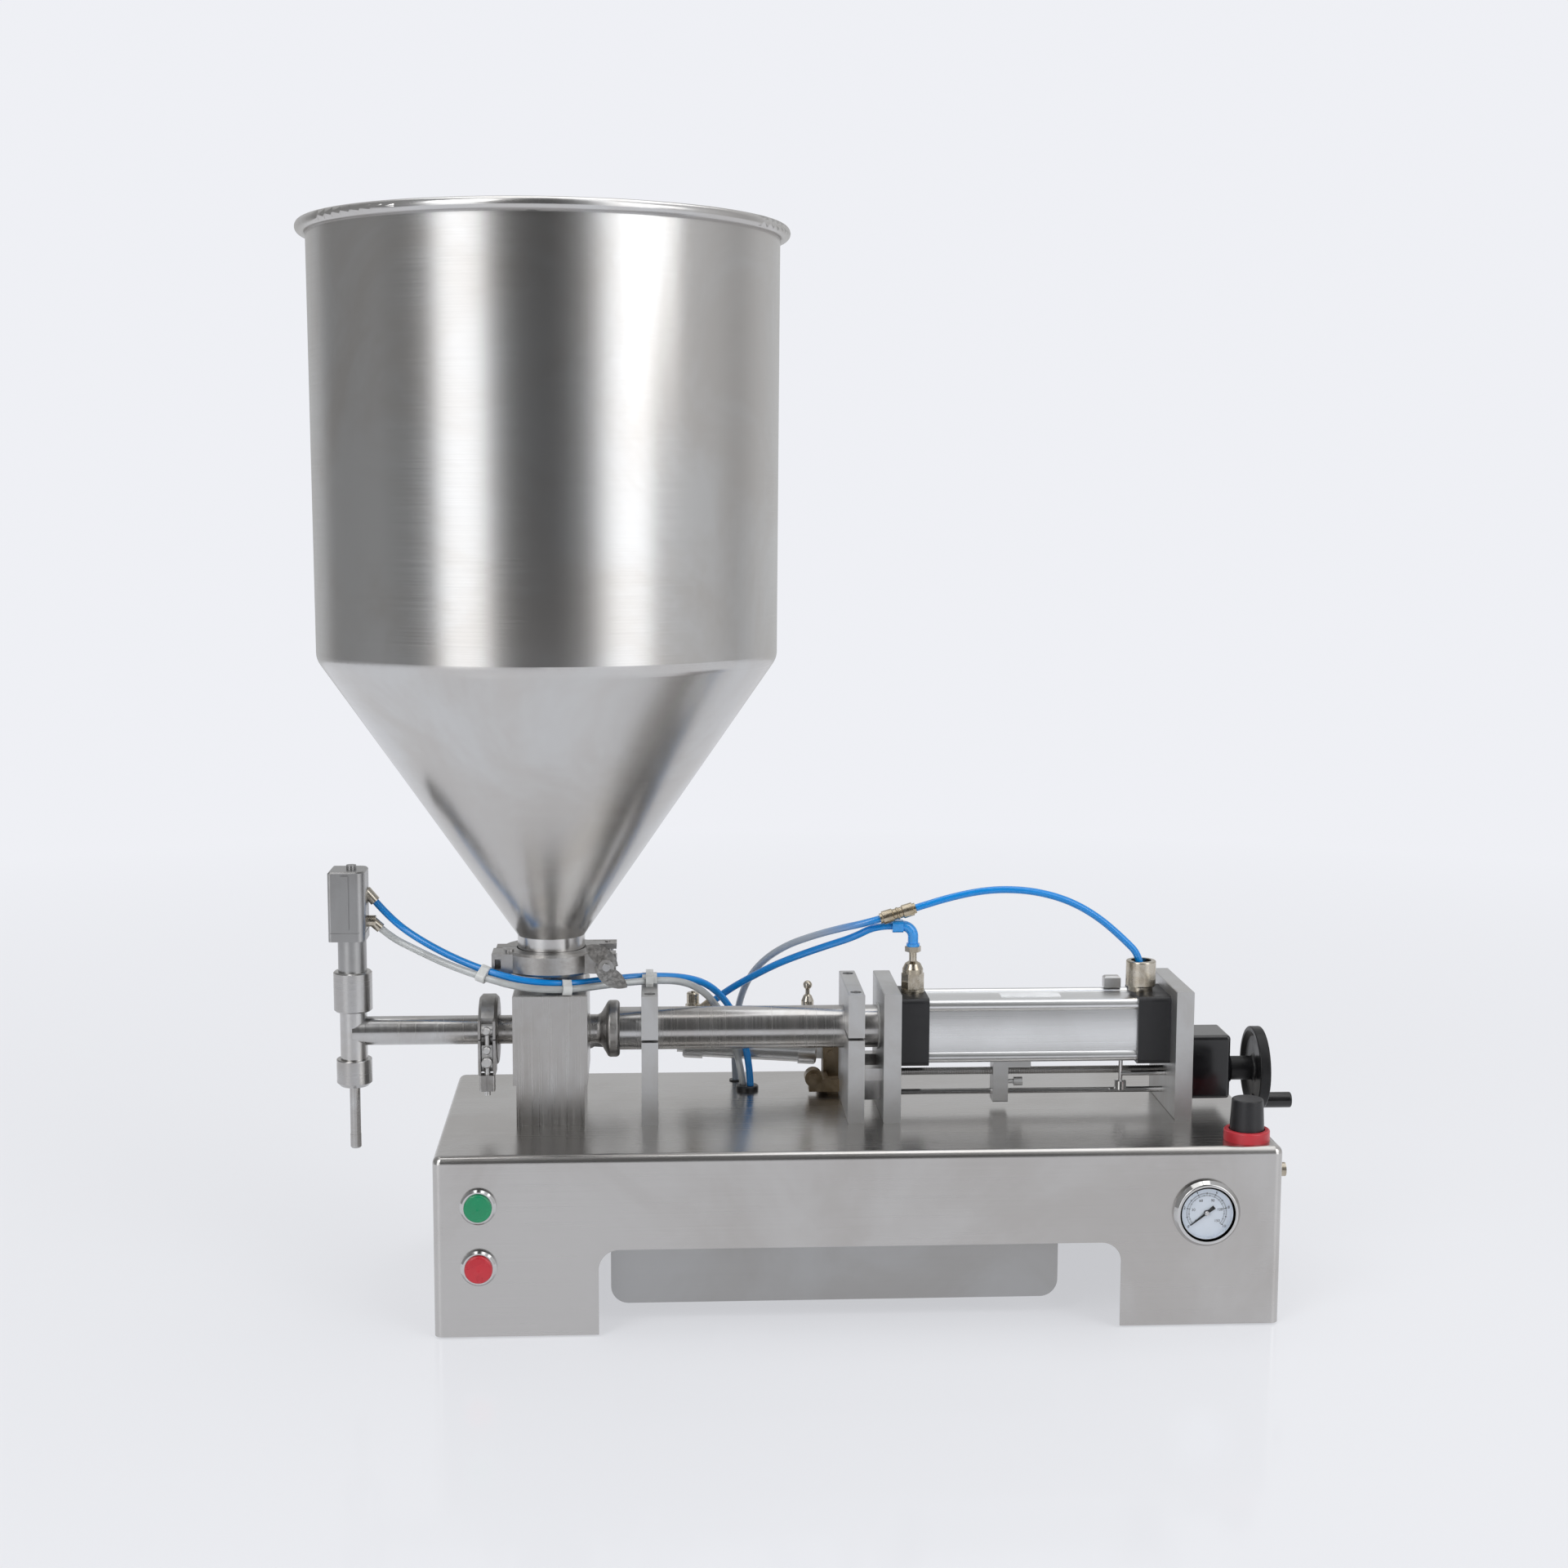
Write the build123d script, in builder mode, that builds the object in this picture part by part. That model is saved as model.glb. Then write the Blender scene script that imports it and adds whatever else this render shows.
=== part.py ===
"""Piston paste filling machine for the bench.

A funnel hopper stands on a three-way valve block. A rotary plug in the block joins the
metering cylinder on the right first to the hopper and then to the dosing nozzle on the left.
An air cylinder drives the metering piston, a small swing cylinder behind turns the plug, and
a leadscrew with a handwheel sets the stroke. Everything stands on a folded sheet base.

Millimetres, +Z up, -Y is the operator's side. The origin is on the bench, under the middle of
the machine's overall length, which runs from the hopper rim to the end of the crank grip.
"""
import os
from math import atan2, cos, degrees, hypot, pi, radians, sin, tan

from build123d import *

os.makedirs("parts", exist_ok=True)

# Driving sizes

# Clearances
RUN = 0.05            # radial, a shaft that turns or slides in its bore
SNUG = 0.02           # radial, a fixed piece in its seat
GAP = 0.3             # between faces that pass each other

# Base cover: folded sheet, open underneath, with a notch in its front
BASE_L, BASE_W, BASE_TOP = 665.0, 260.0, 145.0
SHEET = 1.5
BEND_R = 6.0          # outside radius of the folds at the top
CORNER_R = 6.5        # upright corners
EDGE_Z = 1.5          # the sheet's lower edge above the bench
NOTCH_L, NOTCH_TOP, NOTCH_R = 410.0, 69.5, 16.0
GUSSET = 36.0         # square corner plates that carry the feet
FOOT_H, FOOT_R = 8.0, 13.0

# Hanging sheet behind the notch
PANEL_L, PANEL_SET, PANEL_Y = 356.0, 9.0, -100.0
PANEL_LOW, PANEL_R, PANEL_LIP = 16.0, 14.0, 20.0

# Main lines: the height of the metering axis and the setbacks from the hopper axis
AXIS_Z = 214.8
BASE_SET = 245.0      # hopper axis to the middle of the base
NOZZLE_SET = 161.7    # hopper axis to the nozzle axis, to the left
SUPPORT_SET = 73.5    # hopper axis to the first split support

# Hopper
RIM_Z, BEAD_R = 855.5, 4.8
HOPPER_R_TOP, HOPPER_R_LOW = 185.5, 183.8
JOIN_Z, JOIN_BLEND = 521.5, 16.0
CONE_Z, NECK_R = 294.6, 27.4
HOPPER_WALL, NECK_WALL = 1.5, 2.0
JOINT_Z = 275.0       # where hopper and valve ferrules meet
GASKET = 0.8
BIG_FLANGE_R, FLANGE_T, FLANGE_TAPER = 32.0, 1.8, 1.4

# Valve block
BLOCK_W, BLOCK_D, BLOCK_TOP = 60.0, 84.0, 252.0
FOOT_W, BLOCK_STEP_Z = 54.8, 178.0
PLUG_R, PLUG_FRONT, PLUG_MILL = 19.0, 34.0, 40.0
PORT_R = 9.0
SHAFT_R, COVER_T, COVER_R = 8.0, 6.0, 27.0

# Left spigot, its ferrule joint and the nozzle unit
SPIGOT_R = 11.7
OUT_JOINT = 21.1      # block's left face to the ferrule joint
SMALL_FLANGE_R = 24.0
NOZZLE_TUBE_R, BODY_R, PIPE_R = 4.3, 11.0, 11.8
TIP_Z, TIP_RING_Z = 116.9, 128.3
LOW_NUT_Z, LOW_NUT_H, LOW_NUT_R = 169.4, 22.7, 14.4
TOP_NUT_Z, TOP_NUT_H, TOP_NUT_R = 232.0, 33.0, 15.65
HEAD_TUBE_R, HEAD_Z, HEAD_H = 11.55, 292.0, 57.0
HEAD_W, HEAD_D, HEAD_SHIFT = 29.5, 36.0, -2.0
NEEDLE_R, NEEDLE_LIFT = 2.6, 8.0

# Right spigot, union ring and metering tube
SPIGOT_L, CONE_L, CONE_R = 9.5, 5.5, 21.0
RING_L, RING_R = 10.6, 23.35
TUBE_R, TUBE_BORE_R, TUBE_SHOW, TUBE_SEAT = 17.6, 15.5, 213.8, 6.0

# Plates across the axis
PLATE_D, PLATE_TOP, PLATE_T = 96.0, 251.5, 14.3
SPLIT_T, SPLIT_GAP = 13.4, 2.2
PLATE_A_SET = 28.9    # split plate's left face to the head plate's left face

# Air cylinder
CAP_W, CAP_F, CAP_R, CAP_ROUND = 56.4, 25.0, 27.0, 4.0
BARREL_L, BEAD_OFF, PROFILE_BEAD_R, PROFILE_FLAT = 173.0, 21.3, 5.0, 24.3
BORE_R, PISTON_L, ROD_R = 20.0, 18.0, 8.0
METER_PISTON_L, PISTON_START = 24.0, 4.0
STROKE = 150.0

# Stroke adjuster
SCREW_Z, SCREW_R = 175.8, 3.0
GUIDE_Z, GUIDE_R = 158.5, 2.5
NUT_SET, NUT_W, NUT_D, NUT_LOW = 95.4, 12.6, 18.0, 151.0
BOX_L, BOX_D, BOX_LOW, BOX_H = 38.0, 44.0, 155.0, 53.5
COLLAR_L, COLLAR_R, HUB_R = 4.0, 13.0, 10.0
SHORTEST_HUB, WHEEL_CLEAR = 18.0, 5.8      # the wheel hangs beyond the base's right end
WHEEL_T, WHEEL_R = 9.0, 34.8
GRIP_L, GRIP_R, GRIP_OFF = 26.0, 6.6, 28.0
GRIP_PIN_R = 2.5

# Swing cylinder behind the valve
SWING_Y = 80.0
LEVER_R, LEVER_T, PIN_R = 38.0, 6.0, 3.0
TAIL_SET, TAIL_Z = 236.0, 174.4   # hopper axis to the tail pin
SWING_BARREL_R, SWING_CAP_R, SWING_ROD_R = 11.0, 12.5, 4.0

# Front panel
BUTTON_SET, BUTTON_Z, BUTTON_PITCH = 35.1, 106.0, 48.7
BEZEL_R, BUTTON_CAP_R, BUTTON_TRAVEL = 14.0, 10.9, 3.0
GAUGE_SET, GAUGE_Z, GAUGE_R, DIAL_R = 60.9, 93.0, 26.5, 20.6

# Pressure regulator, on the right of the base top
REG_SET, REG_RING_R, REG_RING_H = 24.0, 18.15, 8.5
REG_Y = 24.0 - BASE_W / 2
REG_KNOB_R, REG_KNOB_TOP_R, REG_KNOB_H = 13.9, 12.3, 27.0
REG_STEM_R, REG_LIFT = 4.0, 4.0

# Hoses, and where they enter the base: from the base's middle, and across
HOSE_R = 3.0
GROMMET_SET, GROMMET_Y, GROMMET_R = 81.5, 64.5, 7.5
FAR_HOLE_SET, FAR_HOLE_Y = 90.2, 95.5
INLET_Z, INLET_R = 121.0, 4.5
INLET_Y = 20.0 - BASE_W / 2

# Stations along the row's X axis

RIM_R = HOPPER_R_TOP + 2 * BEAD_R - HOPPER_WALL
TO_HUB = (BLOCK_W / 2 + SPIGOT_L + CONE_L + RING_L + TUBE_SHOW + PLATE_T + CAP_F + BARREL_L
          + CAP_R + PLATE_T + BOX_L + COLLAR_L + GAP)
HUB_L = max(SHORTEST_HUB, BASE_SET + BASE_L / 2 + WHEEL_CLEAR - TO_HUB)
REACH = TO_HUB + HUB_L + WHEEL_T + GAP + GRIP_L
X_VALVE = (RIM_R - REACH) / 2
X_BASE = X_VALVE + BASE_SET
X_RING = X_VALVE + BLOCK_W / 2 + SPIGOT_L + CONE_L
X_PLATE_B = X_RING + RING_L + TUBE_SHOW
X_PLATE_A = X_PLATE_B - PLATE_A_SET
X_SUPPORT = X_VALVE + SUPPORT_SET
X_CAP_F = X_PLATE_B + PLATE_T
X_BARREL = X_CAP_F + CAP_F
X_CAP_R = X_BARREL + BARREL_L
X_PLATE_C = X_CAP_R + CAP_R
X_BOX = X_PLATE_C + PLATE_T
X_HUB = X_BOX + BOX_L + COLLAR_L + GAP
X_WHEEL = X_HUB + HUB_L
X_GRIP = X_WHEEL + WHEEL_T + GAP
X_OUT = X_VALVE - BLOCK_W / 2 - OUT_JOINT
X_NOZZLE = X_VALVE - NOZZLE_SET
FRONT_Y = -BASE_W / 2
UNDER_TOP = BASE_TOP - SHEET


# Planes and small helpers

def up(x, y, z):
    """A plane for turned pieces whose axis runs up, +Z; its own Y is that axis."""
    return Plane(origin=(x, y, z), x_dir=(1, 0, 0), z_dir=(0, -1, 0))


def right(x, y, z):
    """The same for an axis that runs to the right, +X."""
    return Plane(origin=(x, y, z), x_dir=(0, 0, 1), z_dir=(0, 1, 0))


def front(x, y, z):
    """The same for an axis that runs to the operator, -Y."""
    return Plane(origin=(x, y, z), x_dir=(1, 0, 0), z_dir=(0, 0, -1))


def back(x, y, z):
    """The same for an axis that runs away from the operator, +Y."""
    return Plane(origin=(x, y, z), x_dir=(1, 0, 0), z_dir=(0, 0, 1))


def turn(plane, *points, rounds=(), mode=Mode.ADD):
    """A turned solid from (radius, height) points; rounds holds (point, radius) pairs."""
    with BuildSketch(plane) as profile:
        with BuildLine():
            Polyline(*points, close=True)
        make_face()
        for spot, radius in rounds:
            fillet(profile.vertices().sort_by_distance((spot[0], spot[1], 0))[0], radius)
    revolve(profile.sketch, axis=Axis(plane.origin, plane.y_dir), mode=mode)


def rod(plane, radius, low, high, mode=Mode.ADD):
    """A plain round bar or, subtracted, a plain bore along a turning plane's axis."""
    turn(plane, (0, low), (radius, low), (radius, high), (0, high), mode=mode)


def tube(plane, bore, outer, low, high):
    """A plain ring or sleeve."""
    turn(plane, (bore, low), (outer, low), (outer, high), (bore, high))


def block(low, high, mode=Mode.ADD):
    """A box between two corners."""
    size = [b - a for a, b in zip(low, high)]
    with Locations(tuple((a + b) / 2 for a, b in zip(low, high))):
        Box(*size, mode=mode)


def save(piece, label):
    """Label a finished piece and write its STEP file."""
    piece.part.label = label
    export_step(piece.part, f"parts/{label}.step")


# Base

with BuildPart() as base_cover:
    with BuildSketch(Plane.XY.offset(EDGE_Z)):
        with Locations((X_BASE, 0)):
            RectangleRounded(BASE_L, BASE_W, CORNER_R)
    extrude(amount=BASE_TOP - EDGE_Z)
    fillet(base_cover.faces().sort_by(Axis.Z)[-1].edges(), BEND_R)
    offset(amount=-SHEET, openings=base_cover.faces().sort_by(Axis.Z)[0])
    # notch in the front, open to the lower edge
    with BuildSketch(Plane.XZ.offset(BASE_W / 2 + 1)):
        with Locations((X_BASE, (NOTCH_TOP + EDGE_Z) / 2 - NOTCH_R)):
            notch = RectangleRounded(NOTCH_L, NOTCH_TOP - EDGE_Z + 2 * NOTCH_R, NOTCH_R)
    extrude(amount=-SHEET - 2, mode=Mode.SUBTRACT)
    # corner plates over the feet
    with BuildSketch(Plane.XY.offset(FOOT_H)):
        with Locations((X_BASE, 0)):
            with GridLocations(BASE_L - SHEET - GUSSET, BASE_W - SHEET - GUSSET, 2, 2):
                RectangleRounded(GUSSET, GUSSET, CORNER_R - 0.5)
    extrude(amount=2)
    # holes in the top for the hoses and the regulator
    with BuildSketch(Plane.XY.offset(BASE_TOP + 1)):
        with Locations((X_BASE - GROMMET_SET, GROMMET_Y)):
            Circle(GROMMET_R)
        with Locations((X_BASE - FAR_HOLE_SET, FAR_HOLE_Y)):
            Circle(HOSE_R + 1.6)
        with Locations((X_BASE + BASE_L / 2 - REG_SET, REG_Y)):
            Circle(REG_KNOB_R + 0.4 + SNUG)
    extrude(amount=-SHEET - 2, mode=Mode.SUBTRACT)
    # holes in the front for the buttons and the gauge
    with BuildSketch(Plane.XZ.offset(BASE_W / 2 + 1)):
        with Locations((X_BASE - BASE_L / 2 + BUTTON_SET, BUTTON_Z),
                       (X_BASE - BASE_L / 2 + BUTTON_SET, BUTTON_Z - BUTTON_PITCH)):
            Circle(BUTTON_CAP_R + 1.2 + SNUG)
        with Locations((X_BASE + BASE_L / 2 - GAUGE_SET, GAUGE_Z)):
            Circle(DIAL_R + 0.6 + SNUG)
    extrude(amount=-SHEET - 2, mode=Mode.SUBTRACT)
    # hole in the right end for the air inlet
    rod(right(X_BASE + BASE_L / 2, INLET_Y, INLET_Z), INLET_R + SNUG, -SHEET - 1, 1, mode=Mode.SUBTRACT)
save(base_cover, "base_cover")

with BuildPart() as feet:
    with BuildSketch():
        with Locations((X_BASE, 0)):
            with GridLocations(BASE_L - SHEET - GUSSET, BASE_W - SHEET - GUSSET, 2, 2):
                Circle(FOOT_R)
    extrude(amount=FOOT_H)
    chamfer(feet.edges().group_by(Axis.Z)[0], 1.5)
save(feet, "feet")

with BuildPart() as valve_panel:
    panel_x = X_BASE - NOTCH_L / 2 + PANEL_SET
    with BuildSketch(Plane.XZ.offset(-PANEL_Y)) as sheet:
        with Locations((panel_x + PANEL_L / 2, (PANEL_LOW + UNDER_TOP) / 2)):
            Rectangle(PANEL_L, UNDER_TOP - PANEL_LOW)
        fillet(sheet.vertices().group_by(Axis.Y)[0], PANEL_R)
    extrude(amount=-SHEET)
    block((panel_x, PANEL_Y, UNDER_TOP - SHEET), (panel_x + PANEL_L, PANEL_Y + PANEL_LIP, UNDER_TOP))
save(valve_panel, "valve_panel")

# Front panel: two push buttons and the pressure gauge

X_BUTTON = X_BASE - BASE_L / 2 + BUTTON_SET
BUTTON_SPOTS = [(X_BUTTON, BUTTON_Z), (X_BUTTON, BUTTON_Z - BUTTON_PITCH)]
BUTTON_SEAT = 9.0     # the bezel's bore behind the panel's face

with BuildPart() as button_bodies:
    for x, z in BUTTON_SPOTS:
        bezel_bore = BUTTON_CAP_R + RUN
        turn(front(x, FRONT_Y, z),
             (0, -28), (BEZEL_R - 3, -28), (BEZEL_R - 3, -16), (BUTTON_CAP_R + 1.2, -16),
             (BUTTON_CAP_R + 1.2, 0), (BEZEL_R, 0), (BEZEL_R, 3), (BEZEL_R - 1.6, 4.6),
             (bezel_bore, 4.6), (bezel_bore, -BUTTON_SEAT), (0, -BUTTON_SEAT))
save(button_bodies, "button_bodies")

for (x, z), label in zip(BUTTON_SPOTS, ("start_button", "stop_button")):
    with BuildPart() as button:
        turn(front(x, FRONT_Y, z),
             (0, BUTTON_TRAVEL + GAP - BUTTON_SEAT), (BUTTON_CAP_R, BUTTON_TRAVEL + GAP - BUTTON_SEAT),
             (BUTTON_CAP_R, 7.6), (0, 8.6), rounds=(((BUTTON_CAP_R, 7.6), 1.6),))
    save(button, label)

X_GAUGE = X_BASE + BASE_L / 2 - GAUGE_SET
DIAL_H = 1.0          # the dial face ahead of the panel
with BuildPart() as gauge_case:
    turn(front(X_GAUGE, FRONT_Y, GAUGE_Z),
         (0, -14), (DIAL_R + 0.6, -14), (DIAL_R + 0.6, 0), (GAUGE_R, 0), (GAUGE_R, 3.2),
         (GAUGE_R - 2.6, 6.6), (DIAL_R + 1.4, 6.6), (DIAL_R + 1.4, 5.2), (DIAL_R, 5.2),
         (DIAL_R, DIAL_H), (0.9, DIAL_H), (0.9, DIAL_H + 2.2), (0, DIAL_H + 2.2),
         rounds=(((GAUGE_R - 2.6, 6.6), 1.2),))
    # the connection at the back of the case
    rod(front(X_GAUGE, FRONT_Y, GAUGE_Z), 5, -24, -14)
save(gauge_case, "gauge_case")

NEEDLE_TURN = 218.0   # where the needle rests, degrees counter-clockwise from +X
with BuildPart() as gauge_needle:
    with BuildSketch(Plane(origin=(X_GAUGE, FRONT_Y - DIAL_H - 0.6, GAUGE_Z),
                           x_dir=(cos(radians(NEEDLE_TURN)), 0, sin(radians(NEEDLE_TURN))),
                           z_dir=(0, -1, 0))):
        with BuildLine():
            Polyline((-7.6, -1.5), (-7.6, 1.5), (0, 0.9), (16, 0.25), (16, -0.25), (0, -0.9), close=True)
        make_face()
        Circle(2.2)
        Circle(0.9 + RUN, mode=Mode.SUBTRACT)
    extrude(amount=0.8)
save(gauge_needle, "gauge_needle")

with BuildPart() as gauge_glass:
    rod(front(X_GAUGE, FRONT_Y, GAUGE_Z), DIAL_R + 1.4 - SNUG, 5.2, 6.4)
save(gauge_glass, "gauge_glass")

# Pressure regulator

X_REG = X_BASE + BASE_L / 2 - REG_SET
reg = up(X_REG, REG_Y, BASE_TOP)
with BuildPart() as regulator_body:
    block((X_REG - 15, REG_Y - 15, BASE_TOP - 72), (X_REG + 15, REG_Y + 15, BASE_TOP - 42))
    turn(reg, (0, -42), (REG_KNOB_R - 2, -42), (REG_KNOB_R - 2, -SHEET - 6), (REG_KNOB_R + 3, -SHEET - 6),
         (REG_KNOB_R + 3, -SHEET), (REG_KNOB_R + 0.4, -SHEET), (REG_KNOB_R + 0.4, 2), (0, 2))
    rod(reg, REG_STEM_R + RUN, -30, 2, mode=Mode.SUBTRACT)
save(regulator_body, "regulator_body")

with BuildPart() as regulator_nut:
    turn(reg, (REG_KNOB_R + 0.4 + SNUG, 0), (REG_RING_R, 0), (REG_RING_R, REG_RING_H),
         (REG_KNOB_R + 0.4 + SNUG, REG_RING_H), rounds=(((REG_RING_R, REG_RING_H), 1.4),))
save(regulator_nut, "regulator_nut")

with BuildPart() as regulator_stem:
    rod(reg, REG_STEM_R, -30 + GAP, REG_KNOB_H - 2)
save(regulator_stem, "regulator_stem")

with BuildPart() as regulator_knob:
    turn(reg, (REG_STEM_R + RUN, 2 + GAP), (REG_KNOB_R - 1.2, 2 + GAP), (REG_KNOB_R, 4),
         (REG_KNOB_TOP_R, 2 + REG_KNOB_H + REG_LIFT), (0, 2 + REG_KNOB_H + REG_LIFT),
         (0, REG_KNOB_H - 2 + GAP), (REG_STEM_R + RUN, REG_KNOB_H - 2 + GAP),
         rounds=(((REG_KNOB_TOP_R, 2 + REG_KNOB_H + REG_LIFT), 1.2),))
save(regulator_knob, "regulator_knob")

# Hopper

cone_tan = (HOPPER_R_LOW - NECK_R) / (JOIN_Z - CONE_Z)
cone_step = HOPPER_WALL * hypot(1, cone_tan)          # the cone's wall, measured level
join_rise = (cone_step - HOPPER_WALL) / cone_tan
neck_bore = NECK_R - NECK_WALL
neck_rise = (cone_step - NECK_WALL) / cone_tan
flange_low = JOINT_Z + GASKET / 2
with BuildPart() as hopper:
    turn(up(X_VALVE, 0, 0),
         (neck_bore, flange_low), (BIG_FLANGE_R, flange_low), (BIG_FLANGE_R, flange_low + FLANGE_T),
         (NECK_R, flange_low + FLANGE_T + FLANGE_TAPER), (NECK_R, CONE_Z),
         (HOPPER_R_LOW, JOIN_Z), (HOPPER_R_TOP, RIM_Z), (HOPPER_R_TOP - HOPPER_WALL, RIM_Z),
         (HOPPER_R_LOW - HOPPER_WALL, JOIN_Z + join_rise), (neck_bore, CONE_Z + neck_rise),
         rounds=(((HOPPER_R_LOW, JOIN_Z), JOIN_BLEND),
                 ((HOPPER_R_LOW - HOPPER_WALL, JOIN_Z + join_rise), JOIN_BLEND - HOPPER_WALL)))
    # rim rolled outwards into a bead
    with BuildSketch(up(X_VALVE, 0, 0)) as bead:
        with Locations((HOPPER_R_TOP - HOPPER_WALL + BEAD_R, RIM_Z)):
            Circle(BEAD_R)
    revolve(bead.sketch, axis=Axis((X_VALVE, 0, 0), (0, 0, 1)))
save(hopper, "hopper")

# Valve block: body, rear cover, rotary plug

neck_z = JOINT_Z - GASKET / 2
with BuildPart() as valve_body:
    with BuildSketch(Plane.XY.offset(BASE_TOP)):
        with Locations((X_VALVE, 0)):
            Rectangle(FOOT_W, BLOCK_D)
    extrude(amount=BLOCK_STEP_Z - BASE_TOP)
    with BuildSketch(Plane.XY.offset(BLOCK_STEP_Z)):
        with Locations((X_VALVE, 0)):
            Rectangle(BLOCK_W, BLOCK_D)
    extrude(amount=BLOCK_TOP - BLOCK_STEP_Z)
    chamfer(valve_body.edges().group_by(Axis.Z)[-1], 1.0)
    # ferrule towards the hopper
    turn(up(X_VALVE, 0, 0),
         (0, BLOCK_TOP - 4), (NECK_R, BLOCK_TOP - 4), (NECK_R, neck_z - FLANGE_T - FLANGE_TAPER),
         (BIG_FLANGE_R, neck_z - FLANGE_T), (BIG_FLANGE_R, neck_z), (0, neck_z))
    # spigot and ferrule towards the nozzle
    turn(right(X_OUT - GASKET / 2, 0, AXIS_Z),
         (0, GASKET), (SMALL_FLANGE_R, GASKET), (SMALL_FLANGE_R, GASKET + FLANGE_T),
         (SPIGOT_R, GASKET + FLANGE_T + FLANGE_TAPER), (SPIGOT_R, OUT_JOINT + 2), (0, OUT_JOINT + 2))
    # spigot and cone towards the metering cylinder
    turn(right(X_VALVE + BLOCK_W / 2, 0, AXIS_Z),
         (0, -2), (SPIGOT_R + 0.8, -2), (SPIGOT_R + 0.8, 0.8), (SPIGOT_R, 1.6), (SPIGOT_R, SPIGOT_L),
         (CONE_R, SPIGOT_L + CONE_L), (0, SPIGOT_L + CONE_L),
         rounds=(((SPIGOT_R, SPIGOT_L), 5.0),))
    # passages: down from the hopper, out to the left, out to the right
    turn(up(X_VALVE, 0, 0), (0, AXIS_Z), (PORT_R, AXIS_Z), (PORT_R, AXIS_Z + PLUG_R + 2),
         (neck_bore, BLOCK_TOP - 2), (neck_bore, neck_z), (0, neck_z), mode=Mode.SUBTRACT)
    rod(right(X_OUT, 0, AXIS_Z), PORT_R, 0, OUT_JOINT + BLOCK_W / 2, mode=Mode.SUBTRACT)
    turn(right(X_VALVE, 0, AXIS_Z), (0, 0), (PORT_R, 0), (PORT_R, BLOCK_W / 2 + SPIGOT_L - 2),
         (TUBE_BORE_R, BLOCK_W / 2 + SPIGOT_L + CONE_L), (0, BLOCK_W / 2 + SPIGOT_L + CONE_L),
         mode=Mode.SUBTRACT)
    # bore of the rotary plug, blind at the front
    rod(back(X_VALVE, 0, AXIS_Z), PLUG_R, -PLUG_FRONT, BLOCK_D / 2, mode=Mode.SUBTRACT)
save(valve_body, "valve_body")

with BuildPart() as valve_cover:
    tube(back(X_VALVE, BLOCK_D / 2, AXIS_Z), SHAFT_R + RUN, COVER_R, 0, COVER_T)
    with BuildSketch(Plane.XZ.offset(-BLOCK_D / 2 - COVER_T)):
        with Locations((X_VALVE, AXIS_Z)):
            with PolarLocations(COVER_R - 4.5, 4, start_angle=45):
                RegularPolygon(3.2, 6)
    extrude(amount=-2.6)
save(valve_cover, "valve_cover")

# The lever starts 45 degrees to the right of straight down and turns a quarter to the left.
LEVER_ANGLE = -45.0
lever_far = LEVER_R
lever_near = LEVER_R * cos(radians(45))
SLOT_HALF = PIN_R + 2.7   # the pin's play across the slot as the lever turns
lever_y = SWING_Y - LEVER_T / 2
with BuildPart() as valve_rotor:
    rod(back(X_VALVE, 0, AXIS_Z), PLUG_R - RUN, GAP - PLUG_FRONT, BLOCK_D / 2 - GAP)
    # half of the plug is milled away over its middle, so two neighbouring ports are joined
    block((X_VALVE + 1, -PLUG_MILL / 2, AXIS_Z - PLUG_R), (X_VALVE + PLUG_R, PLUG_MILL / 2, AXIS_Z + PLUG_R),
          mode=Mode.SUBTRACT)
    rod(back(X_VALVE, 0, AXIS_Z), SHAFT_R, PLUG_MILL / 2, SWING_Y + LEVER_T / 2 + 3)
    with BuildSketch(Plane(origin=(X_VALVE, lever_y, AXIS_Z),
                           x_dir=(cos(radians(LEVER_ANGLE)), 0, sin(radians(LEVER_ANGLE))),
                           z_dir=(0, -1, 0))):
        Circle(SHAFT_R + 5)
        with Locations((lever_far, 0)):
            Circle(SLOT_HALF + 3.4)
        make_hull()
        with Locations(((lever_near + lever_far) / 2, 0)):
            SlotCenterToCenter(lever_far - lever_near, 2 * SLOT_HALF, mode=Mode.SUBTRACT)
    extrude(amount=-LEVER_T)
save(valve_rotor, "valve_rotor")

# Nozzle unit

nozzle_up = up(X_NOZZLE, 0, 0)
NUT_SEAT = LOW_NUT_Z + LOW_NUT_H
NECKED_R = NOZZLE_TUBE_R + 0.5   # the nozzle tube is thicker where it goes into the lower nut
with BuildPart() as nozzle_pipe:
    # upright body tube, a little into both union nuts
    rod(nozzle_up, BODY_R, NUT_SEAT - 8, TOP_NUT_Z + 8)
    # level pipe to the ferrule joint
    turn(right(X_NOZZLE, 0, AXIS_Z),
         (0, 0), (PIPE_R, 0), (PIPE_R, X_OUT - X_NOZZLE - GASKET / 2 - FLANGE_T - FLANGE_TAPER),
         (SMALL_FLANGE_R, X_OUT - X_NOZZLE - GASKET / 2 - FLANGE_T),
         (SMALL_FLANGE_R, X_OUT - X_NOZZLE - GASKET / 2), (0, X_OUT - X_NOZZLE - GASKET / 2))
    rod(right(X_NOZZLE, 0, AXIS_Z), PORT_R, 0, X_OUT - X_NOZZLE, mode=Mode.SUBTRACT)
    rod(nozzle_up, PORT_R, NUT_SEAT - 9, TOP_NUT_Z + 9, mode=Mode.SUBTRACT)
save(nozzle_pipe, "nozzle_pipe")

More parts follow.
